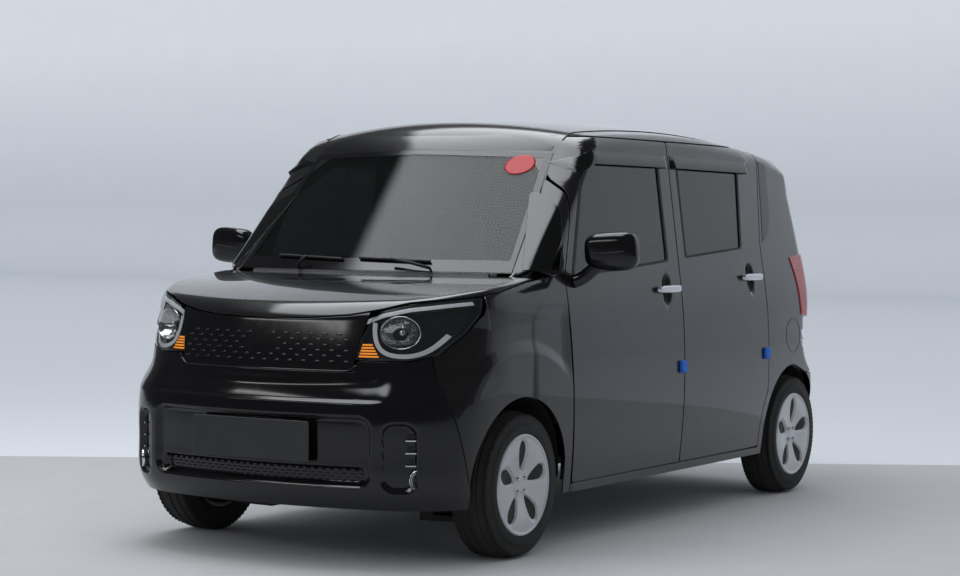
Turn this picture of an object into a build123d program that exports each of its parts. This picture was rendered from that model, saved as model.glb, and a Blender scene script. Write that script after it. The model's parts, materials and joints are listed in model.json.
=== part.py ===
from build123d import *
import os
from math import atan2, cos, hypot, radians, sin

# A five-door boxy city car. Millimetres, +Z up, nose towards -Y, left-hand side towards +X.
# The origin is on the ground, under the middle of the car.

# Overall sizes
length = 3595
width = 1595
height = 1700
wheelbase = 2520
front_overhang = 655
nose_y = -length / 2
tail_y = length / 2
front_axle_y = nose_y + front_overhang
rear_axle_y = front_axle_y + wheelbase
half_width = width / 2

# Wheels and tyres
tyre_radius = 277
tyre_width = 165
bead_radius = 178
rim_width = 140
rim_wall = 6
cover_radius = 193
track = 1404
wheel_x = track / 2
hub_z = tyre_radius

# Body section
sill_z = 205
sill_inset = 22
sill_rise = 58
sill_foot = 105
widest_z = 620
belt_z = 1080
belt_inset = 38
cant_drop = 150
cant_inset = 102
crown_drop = 58
crown_inset = 178
roof_peak_y = 250
roof_bow_radius = 8500
front_taper = 58
rear_taper = 42

# Plan of nose and tail
nose_plan_radius = 3080
tail_plan_radius = 3600
nose_corner_radius = 300
tail_corner_radius = 105
nose_axis_y = nose_y + nose_plan_radius
tail_axis_y = tail_y - tail_plan_radius

# Walls, gaps and seats
panel = 30
door_depth = 60
door_pocket = 68
wall = 104
glass = 6
gap = 8
seat = 0.3
flange = 24
arch_radius = 330
liner_outer = 337
liner_wall = 4

# Shut lines and levels
door_foot_z = 250
door_head_z = 1603
door_split_y = 190
bonnet_back_radius = 2412
screen_foot_z = 1075
screen_head_z = 1537
bumper_top_z = 712
grille_half = 449
grille_shoulder_z = 828
tail_bumper_z = 560
tailgate_foot_z = 592
tailgate_half = 590
tailgate_head_y = 1462
roof_half = 586
roof_front_y = -540
side_start = 560
inner_wing_front_y = -1380
floor_thickness = 25
floor_top_z = sill_z + wall
floor_z = floor_top_z - floor_thickness
rear_floor_z = 415
load_floor_top_z = rear_floor_z + floor_thickness
load_floor_back_y = 1660
kick_y = 880
bulkhead_thickness = 25
tunnel_half = 112
tunnel_top_z = 385
front_house_x = 455
rear_house_x = 590

# Running gear
kingpin_foot_x = 638
kingpin_foot_z = 150
kingpin_lean = 0.1846
pin_radius = 11
strut_radius = 22
strut_top_z = 700
strut_top_x = kingpin_foot_x - kingpin_lean * (strut_top_z - kingpin_foot_z)
tower_radius = 72
stub_radius = 16
rail_x = 380
rail_width = 60
rail_z = 215
rail_front_y = -1640
exhaust_tip_x = 460
exhaust_tip_z = 310
exhaust_tip_radius = 24

# Flat pads for the plates
plate_half = 265
plate_pad_y = nose_y - 1
plate_low_z = 388
plate_high_z = 532
rear_plate_y = tail_y - 42
rear_plate_low_z = 642
rear_plate_high_z = 776

# Cabin
driver_x = 345
steering_wheel_radius = 185
column_tilt = 26

# Centre line of nose, bonnet and windscreen, as (y, z)
nose_profile = [
    (nose_y + 82, 190),
    (nose_y + 22, 262),
    (nose_y + 2, 400),
    (nose_y, 520),
    (nose_y + 26, 700),
    (nose_y + 44, 800),
    (nose_y + 66, 880),
    (nose_y + 160, 962),
    (nose_y + 690, 1052),
    (-640, 1545),
    (-585, 1605),
    (-520, 1645),
    (-440, 1673),
    (-300, 1705),
]

# Centre line of rear bumper, tailgate and rear glass, as (y, z)
tail_profile = [
    (tail_y - 55, 190),
    (tail_y - 18, 250),
    (tail_y, 360),
    (tail_y - 2, 470),
    (tail_y - 14, tail_bumper_z),
    (tail_y - 48, tail_bumper_z + 24),
    (tail_y - 62, 850),
    (tail_y - 90, 1120),
    (tail_y - 180, 1400),
    (tail_y - 262, 1560),
    (tail_y - 360, 1650),
]

# Outlines seen from the side, as (y, z)
front_door_outline = [
    (-748, door_foot_z),
    (-800, 984),
    (-800, 1060),
    (-655, 1430),
    (-540, door_head_z),
    (door_split_y - gap / 2, door_head_z),
    (door_split_y - gap / 2, door_foot_z),
]
rear_door_outline = [
    (door_split_y + gap / 2, door_foot_z),
    (door_split_y + gap / 2, door_head_z),
    (1125, door_head_z),
    (1118, 1550),
    (1052, 1165),
    (1070, 880),
    (1070, door_foot_z),
]
rear_door_arch = 380
front_window_outline = [(-752, 1048), (-612, 1405), (-497, 1531), (92, 1531), (92, 1101)]
rear_window_outline = [(262, 1114), (262, 1531), (892, 1520), (842, 1150)]
corner_glass_outline = [(-1100, 1068), (-836, 1072), (-705, 1400), (-1100, 1400)]
quarter_glass_outline = [(1090, 1205), (1153, 1532), (1235, 1522), (1205, 1225)]
bonnet_side_line = [(-1460, 990), (-1080, 1036)]
bumper_end_line = [(-1634, 780), (-1590, 600), (-1535, 450), (-1478, 300), (-1478, 150)]
tail_lamp_outline = [(1400, 1100), (1480, 1128), (1900, 1128), (1900, 812), (1500, 812), (1428, 838)]

# Outlines seen from the front, as (x, z), left half
headlamp_outline = [
    (432, 763),
    (449, 828),
    (497, 911),
    (547, 940),
    (637, 958),
    (790, 976),
    (786, 922),
    (769, 860),
    (716, 785),
    (639, 764),
    (534, 761),
]
corner_glass_front = [(694, 1060), (900, 1060), (900, 1410), (648, 1410)]
bonnet_front_line = [(0, 903), (200, 908), (400, 925), (547, 946), (637, 964), (800, 984)]


def roof_z(y):
    """Height of the roof's middle line."""
    return height - (y - roof_peak_y) ** 2 / (2 * roof_bow_radius)


def half_at(y):
    """Half the body's width at its widest level."""
    taper = front_taper if y < 0 else rear_taper
    return half_width - taper * (abs(y) / (length / 2)) ** 4


def section(y, inset):
    """The body's cross-section: sill, flank, cant rail and roof crown, mirrored."""
    half = half_at(y) - inset
    top = roof_z(y) - inset
    foot = (half - sill_foot, sill_z + inset)
    sill = (half - sill_inset, sill_z + sill_rise + inset * 0.4)
    flank = (half, widest_z)
    belt = (half - belt_inset, belt_z)
    cant = (half - cant_inset, top - cant_drop + inset * 0.3)
    crown = (half - crown_inset, top - crown_drop)
    lean = atan2(cant[1] - belt[1], belt[0] - cant[0])
    slope = 2 * crown_drop / crown[0]
    with BuildSketch(Plane.XZ.offset(-y)) as shape:
        with BuildLine():
            Line((0, sill_z + inset), foot)
            Line(foot, sill)
            Spline(sill, flank, belt, cant, tangents=[(0.05, 1), (-cos(lean), sin(lean))])
            Spline(cant, crown, tangents=[(-cos(lean), sin(lean)), (-1, slope)])
            Spline(crown, (0, top), tangents=[(-1, slope), (-1, 0)])
            mirror(about=Plane.YZ)
        make_face()
    return shape.sketch


def upright_plane(axis_y, turn):
    """A plane through an upright axis, with its own x along +Y before the turn."""
    return Plane(origin=(0, axis_y, 0), x_dir=(0, 1, 0), z_dir=(1, 0, 0)).rotated((0, 0, turn))


def front_cutter(inset):
    """What lies ahead of and above the nose, bonnet and windscreen."""
    swing = 40
    points = [(y - nose_axis_y + inset, z - inset) for y, z in nose_profile]
    ahead = points[0][0] - 400
    above = height + 200
    with BuildPart() as cutter:
        with BuildSketch(upright_plane(nose_axis_y, -swing)):
            with BuildLine():
                Spline(*points[:5])
                Spline(*points[4:9])
                Line(points[8], points[9])
                Spline(*points[9:])
                Polyline(points[-1], (points[-1][0], above), (ahead, above), (ahead, 0), (points[0][0], 0))
                Line((points[0][0], 0), points[0])
            make_face()
        revolve(axis=Axis((0, nose_axis_y, 0), (0, 0, 1)), revolution_arc=2 * swing)
    return cutter.part


def rear_cutter(inset):
    """What lies behind the rear bumper and the tailgate."""
    swing = 16
    points = [(y - tail_axis_y - inset, z) for y, z in tail_profile]
    behind = points[0][0] + 500
    above = height + 200
    with BuildPart() as cutter:
        with BuildSketch(upright_plane(tail_axis_y, -swing)):
            with BuildLine():
                Spline(*points[:5])
                Line(points[4], points[5])
                Spline(*points[5:8])
                Spline(*points[7:])
                Polyline(points[-1], (points[-1][0], above), (behind, above), (behind, 0), (points[0][0], 0))
                Line((points[0][0], 0), points[0])
            make_face()
        revolve(axis=Axis((0, tail_axis_y, 0), (0, 0, 1)), revolution_arc=2 * swing)
    return cutter.part


def body_form(inset):
    """The whole body as one solid, with every surface moved in by inset."""
    stations = [nose_y - 30, front_axle_y, -400, 500, rear_axle_y, tail_y + 30]
    side = half_width + 1 - inset
    front = nose_y - 0.5 + inset
    rear = tail_y + 0.5 - inset
    front_side = front + half_width**2 / (2 * nose_plan_radius)
    rear_side = rear - half_width**2 / (2 * tail_plan_radius)
    with BuildPart() as form:
        for y in stations:
            add(section(y, inset))
        loft()
        with BuildSketch() as plan:
            with BuildLine():
                ThreePointArc((-side, front_side), (0, front), (side, front_side))
                Line((side, front_side), (side, rear_side))
                ThreePointArc((side, rear_side), (0, rear), (-side, rear_side))
                Line((-side, rear_side), (-side, front_side))
            make_face()
            fillet(plan.vertices().group_by(Axis.Y)[0], nose_corner_radius - inset)
            fillet(plan.vertices().group_by(Axis.Y)[-1], tail_corner_radius - min(inset, 90))
        extrude(amount=height, mode=Mode.INTERSECT)
        add(front_cutter(inset), mode=Mode.SUBTRACT)
        add(rear_cutter(inset), mode=Mode.SUBTRACT)
    return form.part


def side_prism(outline, grow=0, corner=0, start=300, end=900, arch=0):
    """A side-view outline grown on all sides, run from start to end across the car."""
    with BuildPart() as prism:
        with BuildSketch(Plane.YZ.offset(start)) as shape:
            with BuildLine():
                Polyline(*outline, close=True)
            make_face()
            if grow:
                offset(amount=grow, kind=Kind.INTERSECTION)
            if corner:
                fillet(shape.vertices(), corner)
        extrude(amount=end - start)
        if arch:
            with BuildSketch(Plane.YZ.offset(start)):
                with Locations((rear_axle_y, hub_z)):
                    Circle(arch - grow)
            extrude(amount=end - start, mode=Mode.SUBTRACT)
    return prism.part


def front_prism(outline, start, end, grow=0, corner=0):
    """A front-view outline grown on all sides, run from start to end along the car."""
    with BuildPart() as prism:
        with BuildSketch(Plane.XZ.offset(-start)) as shape:
            with BuildLine():
                Polyline(*outline, close=True)
            make_face()
            if grow:
                offset(amount=grow, kind=Kind.INTERSECTION)
            if corner:
                fillet(shape.vertices(), corner)
        extrude(amount=start - end)
    return prism.part


def box(x0, x1, y0, y1, z0, z1):
    """A block between two corners."""
    with BuildPart() as block:
        with Locations(((x0 + x1) / 2, (y0 + y1) / 2, (z0 + z1) / 2)):
            Box(x1 - x0, y1 - y0, z1 - z0)
    return block.part


def both_sides(outline):
    """A left-half outline with its mirror image, as one closed ring of points."""
    return outline + [(-a, b) for a, b in reversed(outline) if a != 0]


def mirrored(part):
    """The same piece on the other side of the car."""
    with BuildPart() as other:
        add(part)
        mirror(about=Plane.YZ, mode=Mode.REPLACE)
    return other.part


def arch_cylinder(axle_y, radius, start, end):
    """A wheel well about an axle, from start to end across the car."""
    with BuildPart() as well:
        with BuildSketch(Plane.YZ.offset(start)):
            with Locations((axle_y, hub_z)):
                Circle(radius)
        extrude(amount=end - start)
    return well.part


def plan_ring(inner, outer):
    """A ring about the upright axis of nose and windscreen, over the full height."""
    with BuildPart() as ring:
        with BuildSketch():
            with Locations((0, nose_axis_y)):
                Circle(outer)
                Circle(inner, mode=Mode.SUBTRACT)
        extrude(amount=height)
    return ring.part


# Surfaces of the body at the depths that its panels need
hull = body_form(0)
glass_back = body_form(glass)
panel_back = body_form(panel)
door_back = body_form(door_depth)
door_seat = body_form(door_pocket)
cabin_wall = body_form(wall)


# Regions of the nose
def bonnet_zone(grow):
    """Above the bonnet's shut line, ahead of its rear edge, grown all round."""
    split_y, split_z = bonnet_side_line[0]
    rise = (bonnet_side_line[1][1] - split_z) / (bonnet_side_line[1][0] - split_y)
    front_line = [(x, z - grow) for x, z in bonnet_front_line]
    front_line = [(0, 1300)] + front_line + [(800, 1300)]
    back_z = split_z + rise * 560
    with BuildPart() as zone:
        with BuildSketch(Plane.XZ.offset(-(nose_y - 50))):
            with BuildLine():
                Polyline(*front_line, close=True)
                mirror(about=Plane.YZ)
            make_face()
        extrude(amount=nose_y - 50 - split_y - grow)
        with BuildSketch(Plane.XY.offset(880)):
            with Locations((0, (split_y - grow - 900) / 2)):
                Rectangle(1410 + 2 * grow, -900 - split_y + grow)
        extrude(amount=420)
        for start in (700, -900):
            with BuildSketch(Plane.YZ.offset(start)):
                with BuildLine():
                    Polyline(
                        (split_y - grow, split_z - grow),
                        (split_y + 560, back_z - grow),
                        (split_y + 560, 1300),
                        (split_y - grow, 1300),
                        close=True,
                    )
                make_face()
            extrude(amount=200)
        with BuildSketch():
            with Locations((0, nose_axis_y)):
                Circle(bonnet_back_radius - grow)
        extrude(amount=height, mode=Mode.SUBTRACT)
    return zone.part


bonnet_opening = bonnet_zone(gap)
headlamp_zone = front_prism(headlamp_outline, nose_y - 50, -1380)
grille_zone = front_prism(
    [
        (-grille_half, bumper_top_z),
        (grille_half, bumper_top_z),
        (grille_half, grille_shoulder_z),
        (600, 1050),
        (-600, 1050),
        (-grille_half, grille_shoulder_z),
    ],
    nose_y - 50,
    -1560,
)
bumper_zone = side_prism([(-1900, 100), (-1900, 1000), (-1640, 1000)] + bumper_end_line, start=-900)
wing_zone = side_prism(
    [(y + seat, z) for y, z in reversed(bumper_end_line)]
    + [(-1640 + seat, 1060), (-700, 1050), (-700, 150)],
    start=600,
)

# Regions of the doors and the tail
door_start = 600
front_door_zone = side_prism(front_door_outline, start=door_start)
front_door_opening = side_prism(front_door_outline, grow=gap, start=door_start - gap)
rear_door_zone = side_prism(rear_door_outline, start=door_start, arch=rear_door_arch)
rear_door_opening = side_prism(rear_door_outline, grow=gap, start=door_start - gap, arch=rear_door_arch)
tail_lamp_zone = side_prism(tail_lamp_outline, start=tailgate_half + gap + 4)
rear_bumper_zone = side_prism(
    [(1530, 100), (1530, tail_bumper_z - 20), (1640, tail_bumper_z), (1700, 576), (1900, 576), (1900, 100)],
    start=-900,
)
corner_glass_zone = side_prism(corner_glass_outline, start=600) & front_prism(corner_glass_front, -1200, -600)
quarter_glass_zone = side_prism(quarter_glass_outline, corner=20, start=side_start)
roof_back_y = tailgate_head_y - gap - 3
roof_zone = box(-roof_half, roof_half, roof_front_y, roof_back_y, 1548, 1750)
roof_zone = roof_zone + box(-900, 900, roof_front_y, roof_back_y, door_head_z + gap, 1750)
tailgate_zone = box(-tailgate_half, tailgate_half, tailgate_head_y, 1900, tailgate_foot_z, 1750)
tailgate_opening = box(
    -tailgate_half - gap,
    tailgate_half + gap,
    tailgate_head_y - gap,
    1900,
    tailgate_foot_z - gap,
    1750,
)
screen_ring = [
    (-648, screen_foot_z),
    (648, screen_foot_z),
    (572, screen_head_z),
    (0, screen_head_z + 16),
    (-572, screen_head_z),
]
rear_glass_ring = both_sides([(508, 1165), (470, 1500)])
screen_zone = front_prism(screen_ring, -1300, -350, corner=30)
bulkhead_y = -1085
front_well = arch_cylinder(front_axle_y, liner_outer, front_house_x, 900)
rear_well_front_y = rear_axle_y - liner_outer
front_arch = arch_cylinder(front_axle_y, arch_radius, 400, 900)
rear_arch = arch_cylinder(rear_axle_y, arch_radius, 400, 900)

# Door hinges: upright axes just inside the skin, near each door's front edge
hinge_x = half_width - 10
front_hinge_y = -770
rear_hinge_y = door_split_y + 35
hinge_clearance = 72
hinge_leaf_radius = 68
hinge_levels = (480, 790)
hinge_height = 36


def swing_limit(hinge_y, edge):
    """All that a door may fill without fouling its opening, turned about its hinge."""
    with BuildPart() as limit:
        with BuildSketch(Plane.XZ):
            with BuildLine():
                Polyline(
                    (0, edge[0][1]),
                    *[(y - hinge_y, z) for y, z in edge],
                    (0, edge[-1][1]),
                    close=True,
                )
            make_face()
        revolve(axis=Axis.Z)
    return limit.part.moved(Location((hinge_x, hinge_y, 0)))


front_door_swing = swing_limit(front_hinge_y, [(door_split_y - gap / 2, 200), (door_split_y - gap / 2, 1650)])
rear_door_swing = swing_limit(
    rear_hinge_y, [(1070, 200), (1070, 880), (1052, 1165), (1118, 1550), (1125, 1650)]
)


def hinge_pocket(hinge_y):
    """Room behind the skin for a door's leading edge as it swings in."""
    with BuildPart() as pocket:
        with BuildSketch(Plane.XY.offset(door_foot_z - gap)):
            with Locations((hinge_x, hinge_y)):
                Circle(hinge_clearance)
            with Locations((hinge_x + 100 - panel - 4, hinge_y)):
                Rectangle(200, 200, mode=Mode.SUBTRACT)
        extrude(amount=1060 - door_foot_z)
    return pocket.part


def hinge_sector(hinge_y, inner, outer, start_angle, end_angle):
    """Part of a ring round a door's axis, well inside its skin, at the height of each of its two hinges."""
    angles = [radians(start_angle + (end_angle - start_angle) * k / 4) for k in range(5)]
    with BuildPart() as sectors:
        for level in hinge_levels:
            with BuildSketch(Plane.XY.offset(level)):
                with Locations((hinge_x, hinge_y)):
                    Circle(outer)
                    Circle(inner, mode=Mode.SUBTRACT)
                with BuildLine():
                    Polyline(
                        (hinge_x, hinge_y),
                        *[(hinge_x + 200 * cos(a), hinge_y + 200 * sin(a)) for a in angles],
                        close=True,
                    )
                make_face(mode=Mode.INTERSECT)
                with Locations((hinge_x + 100 - panel - gap - 2, hinge_y)):
                    Rectangle(200, 400, mode=Mode.SUBTRACT)
            extrude(amount=hinge_height)
    return sectors.part


def door_hinge_leaf(hinge_y):
    """The leaves that stay on the pillar, round the door's own."""
    return hinge_sector(hinge_y, hinge_leaf_radius + seat, hinge_clearance + 14, 166, 205)


front_leaf = door_hinge_leaf(front_hinge_y)
rear_leaf = door_hinge_leaf(rear_hinge_y)
sill_reach_x = half_width - door_depth - 35
sill_ledge = box(side_start, sill_reach_x, -900, 1200, 150, door_foot_z + 50)
sill_fill = box(side_start, sill_reach_x - gap, -900, 1200, 150, door_foot_z + 50)
pillar_notch = box(590, 682, -735, -692, 1180, 1262)
bonnet_rest = box(690, 715, -1062, -1036, 950, 1100) & panel_back.moved(Location((0, 0, -seat)))
tailgate_rest = box(200, 250, 1436, 1490, 1515, 1700) & door_back.moved(Location((0, -seat, -seat)))
tailgate_rests = tailgate_rest + mirrored(tailgate_rest)

# Body sides: sills, pillars, quarters and inner wings, with the seats of doors and panels cut in
with BuildPart() as body_side_left:
    add(hull & box(side_start, 900, inner_wing_front_y, 1900, 150, 1750))
    add(cabin_wall, mode=Mode.SUBTRACT)
    add(front_door_opening - door_seat - front_leaf - sill_fill, mode=Mode.SUBTRACT)
    add(rear_door_opening - door_seat - rear_leaf - sill_fill, mode=Mode.SUBTRACT)
    add(pillar_notch, mode=Mode.SUBTRACT)
    add(hinge_pocket(front_hinge_y) - front_leaf, mode=Mode.SUBTRACT)
    add(hinge_pocket(rear_hinge_y) - rear_leaf, mode=Mode.SUBTRACT)
    add(side_prism(front_door_outline, grow=-flange, corner=20, start=600) - front_leaf, mode=Mode.SUBTRACT)
    add(
        side_prism(rear_door_outline, grow=-flange, start=600, arch=rear_door_arch) - rear_leaf,
        mode=Mode.SUBTRACT,
    )
    add(bonnet_opening - door_back - bonnet_rest, mode=Mode.SUBTRACT)
    add(wing_zone - panel_back, mode=Mode.SUBTRACT)
    add(tailgate_opening - door_seat, mode=Mode.SUBTRACT)
    add(rear_bumper_zone - panel_back, mode=Mode.SUBTRACT)
    add(roof_zone - panel_back, mode=Mode.SUBTRACT)
    add(tail_lamp_zone - panel_back, mode=Mode.SUBTRACT)
    add(screen_zone, mode=Mode.SUBTRACT)
    add(corner_glass_zone, mode=Mode.SUBTRACT)
    add(quarter_glass_zone, mode=Mode.SUBTRACT)
    add(arch_cylinder(front_axle_y, liner_outer, front_house_x, 900), mode=Mode.SUBTRACT)
    add(arch_cylinder(rear_axle_y, liner_outer, rear_house_x - liner_wall, 900), mode=Mode.SUBTRACT)
    add(box(0, rear_house_x + 1, rear_well_front_y, 1720, 150, rear_floor_z), mode=Mode.SUBTRACT)
    add(
        box(0, rear_house_x - liner_wall, kick_y, load_floor_back_y, rear_floor_z, load_floor_top_z),
        mode=Mode.SUBTRACT,
    )
body_side_left.part.label = "body_side_left"
body_side_right = mirrored(body_side_left.part)
body_side_right.label = "body_side_right"

# Cross members between the body sides
with BuildPart() as windscreen_header:
    add(hull & box(-side_start, side_start, -700, roof_front_y + 70, 1450, 1750))
    add(cabin_wall, mode=Mode.SUBTRACT)
    add(screen_zone, mode=Mode.SUBTRACT)
    add(roof_zone - panel_back, mode=Mode.SUBTRACT)
windscreen_header.part.label = "windscreen_header"

with BuildPart() as rear_frame:
    add(hull & box(-side_start, side_start, 1370, 1900, 150, 1750))
    add(cabin_wall, mode=Mode.SUBTRACT)
    add(tailgate_opening - door_seat - tailgate_rests, mode=Mode.SUBTRACT)
    add(rear_bumper_zone - panel_back, mode=Mode.SUBTRACT)
    add(roof_zone - panel_back, mode=Mode.SUBTRACT)
    tail_way = box(-side_start, side_start, 1300, 1900, tailgate_foot_z + flange, 1545)
    add(tail_way - tailgate_rests, mode=Mode.SUBTRACT)
    add(box(-side_start, side_start, 1300, load_floor_back_y, 150, 590), mode=Mode.SUBTRACT)
    with BuildSketch(Plane.XZ.offset(-1600)):
        with Locations((exhaust_tip_x, exhaust_tip_z)):
            Circle(exhaust_tip_radius + gap)
    extrude(amount=-200, mode=Mode.SUBTRACT)
rear_frame.part.label = "rear_frame"

with BuildPart() as bulkhead:
    bulkhead_back_y = bulkhead_y + bulkhead_thickness
    add(cabin_wall & box(-side_start, side_start, bulkhead_y, bulkhead_back_y, floor_z, 1060))
    add((panel_back & box(-side_start, side_start, bulkhead_y, -900, 900, screen_foot_z)) - cabin_wall)
    add(bonnet_opening - door_back, mode=Mode.SUBTRACT)
    front_house = arch_cylinder(front_axle_y, liner_outer, front_house_x - liner_wall, side_start)
    for side in (front_well, mirrored(front_well), front_house, mirrored(front_house)):
        add(side, mode=Mode.SUBTRACT)
    with BuildSketch(Plane.XY.offset(hub_z)):
        with Locations((strut_top_x + 8, front_axle_y), (-strut_top_x - 8, front_axle_y)):
            Circle(tower_radius)
    extrude(amount=strut_top_z + 8 - hub_z, mode=Mode.SUBTRACT)
bulkhead.part.label = "bulkhead"

with BuildPart() as roof:
    add(hull & roof_zone)
    add(panel_back, mode=Mode.SUBTRACT)
roof.part.label = "roof"

with BuildPart() as bonnet:
    add(hull & bonnet_zone(0))
    add(panel_back, mode=Mode.SUBTRACT)
bonnet.part.label = "bonnet"

# Nose: one bumper moulding with the grille and the headlamps let into it
with BuildPart() as front_bumper:
    add(hull & bumper_zone)
    add(panel_back, mode=Mode.SUBTRACT)
    add(box(-plate_half, plate_half, plate_pad_y, nose_y + panel, plate_low_z, plate_high_z))
    subframe_half = rail_x + rail_width / 2
    add(box(-subframe_half, subframe_half, rail_front_y, 0, 150, rail_z + panel), mode=Mode.SUBTRACT)
    for zone in (bonnet_opening, headlamp_zone, mirrored(headlamp_zone), grille_zone):
        add(zone, mode=Mode.SUBTRACT)
    add(front_arch, mode=Mode.SUBTRACT)
    add(mirrored(front_arch), mode=Mode.SUBTRACT)
front_bumper.part.label = "front_bumper"

with BuildPart() as grille:
    add(hull & grille_zone)
    add(panel_back, mode=Mode.SUBTRACT)
    for zone in (bonnet_opening, headlamp_zone, mirrored(headlamp_zone)):
        add(zone, mode=Mode.SUBTRACT)
grille.part.label = "grille"

with BuildPart() as headlamps:
    add(hull & headlamp_zone)
    add(door_back, mode=Mode.SUBTRACT)
    add(bonnet_opening, mode=Mode.SUBTRACT)
    mirror(about=Plane.YZ)
headlamps.part.label = "headlamps"

with BuildPart() as wing_left:
    add(hull & wing_zone)
    for zone in (panel_back, bonnet_opening, headlamp_zone, front_door_opening, front_arch):
        add(zone, mode=Mode.SUBTRACT)
wing_left.part.label = "wing_left"
wing_right = mirrored(wing_left.part)
wing_right.label = "wing_right"

with BuildPart() as scuttle:
    add(hull & plan_ring(bonnet_back_radius - 36, bonnet_back_radius - gap))
    with BuildSketch(Plane.XY.offset(1000)):
        with Locations((0, -1100)):
            Rectangle(2 * side_start, 400)
    extrude(amount=75, mode=Mode.INTERSECT)
    add(panel_back, mode=Mode.SUBTRACT)
scuttle.part.label = "scuttle"

# Tail
with BuildPart() as rear_bumper:
    add(hull & rear_bumper_zone)
    add(panel_back, mode=Mode.SUBTRACT)
    add(rear_arch, mode=Mode.SUBTRACT)
    add(mirrored(rear_arch), mode=Mode.SUBTRACT)
rear_bumper.part.label = "rear_bumper"

with BuildPart() as tail_lamps:
    add(hull & tail_lamp_zone)
    add(panel_back, mode=Mode.SUBTRACT)
    mirror(about=Plane.YZ)
tail_lamps.part.label = "tail_lamps"

# Fixed glass, a hair clear of its frames
with BuildPart() as windscreen:
    add(hull & front_prism(screen_ring, -1300, -350, grow=-seat, corner=30))
    add(glass_back, mode=Mode.SUBTRACT)
windscreen.part.label = "windscreen"

with BuildPart() as side_glasses:
    add(hull & corner_glass_zone)
    add(hull & side_prism(quarter_glass_outline, grow=-seat, corner=20, start=side_start))
    add(glass_back, mode=Mode.SUBTRACT)
    mirror(about=Plane.YZ)
side_glasses.part.label = "side_glasses"

# Doors, as thick as the whole door, with their windows cut
with BuildPart() as front_door_left:
    add(hull & front_door_zone)
    add(door_back, mode=Mode.SUBTRACT)
    add(front_door_swing, mode=Mode.INTERSECT)
    add(sill_ledge, mode=Mode.SUBTRACT)
    add(side_prism(front_window_outline, corner=22), mode=Mode.SUBTRACT)
    add(hinge_sector(front_hinge_y, hinge_leaf_radius - 34, hinge_leaf_radius, 168, 205))
front_door_left.part.label = "front_door_left"
front_door_right = mirrored(front_door_left.part)
front_door_right.label = "front_door_right"

with BuildPart() as front_door_glass_left:
    add(hull & side_prism(front_window_outline, grow=-seat, corner=22))
    add(glass_back, mode=Mode.SUBTRACT)
front_door_glass_left.part.label = "front_door_glass_left"
front_door_glass_right = mirrored(front_door_glass_left.part)
front_door_glass_right.label = "front_door_glass_right"

with BuildPart() as rear_door_left:
    add(hull & rear_door_zone)
    add(door_back, mode=Mode.SUBTRACT)
    add(rear_door_swing, mode=Mode.INTERSECT)
    add(sill_ledge, mode=Mode.SUBTRACT)
    add(side_prism(rear_window_outline, corner=22), mode=Mode.SUBTRACT)
    add(hinge_sector(rear_hinge_y, hinge_leaf_radius - 34, hinge_leaf_radius, 168, 205))
rear_door_left.part.label = "rear_door_left"
rear_door_right = mirrored(rear_door_left.part)
rear_door_right.label = "rear_door_right"

with BuildPart() as rear_door_glass_left:
    add(hull & side_prism(rear_window_outline, grow=-seat, corner=22))
    add(glass_back, mode=Mode.SUBTRACT)
rear_door_glass_left.part.label = "rear_door_glass_left"
rear_door_glass_right = mirrored(rear_door_glass_left.part)
rear_door_glass_right.label = "rear_door_glass_right"

with BuildPart() as tailgate:
    add(hull & tailgate_zone)
    add(door_back, mode=Mode.SUBTRACT)
    add(front_prism(rear_glass_ring, 1300, 1900, corner=40), mode=Mode.SUBTRACT)
    add(box(-plate_half, plate_half, rear_plate_y - panel, rear_plate_y, rear_plate_low_z, rear_plate_high_z))
tailgate.part.label = "tailgate"

with BuildPart() as tailgate_glass:
    add(hull & front_prism(rear_glass_ring, 1300, 1900, grow=-seat, corner=40))
    add(glass_back, mode=Mode.SUBTRACT)
tailgate_glass.part.label = "tailgate_glass"

# Floor with its tunnel, the step up under the rear seat and the load floor
with BuildPart() as floor_pan:
    with BuildSketch(Plane.XZ.offset(-bulkhead_y - bulkhead_thickness)):
        with BuildLine():
            Polyline(
                (0, tunnel_top_z - floor_thickness),
                (tunnel_half - 22, tunnel_top_z - floor_thickness),
                (tunnel_half, floor_z),
                (side_start, floor_z),
                (side_start, floor_top_z),
                (tunnel_half + 25, floor_top_z),
                (tunnel_half, tunnel_top_z),
                (0, tunnel_top_z),
            )
            mirror(about=Plane.YZ)
        make_face()
    extrude(amount=-(kick_y - bulkhead_y - bulkhead_thickness))
    add(cabin_wall & box(-720, 720, kick_y - 25, kick_y, floor_top_z, load_floor_top_z))
    add(cabin_wall & box(-720, 720, kick_y - 25, rear_well_front_y, rear_floor_z, load_floor_top_z))
    load_half = rear_house_x - liner_wall
    add(box(-load_half, load_half, kick_y, load_floor_back_y, rear_floor_z, load_floor_top_z))
    for side in (front_well, mirrored(front_well)):
        add(side, mode=Mode.SUBTRACT)
floor_pan.part.label = "floor_pan"

# Wheel houses: a half-ring liner with its inner wall, and the strut tower at the front
def kingpin_point(z):
    """The steering axis of the left front wheel at height z."""
    return (kingpin_foot_x - kingpin_lean * (z - kingpin_foot_z), front_axle_y, z)


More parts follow.
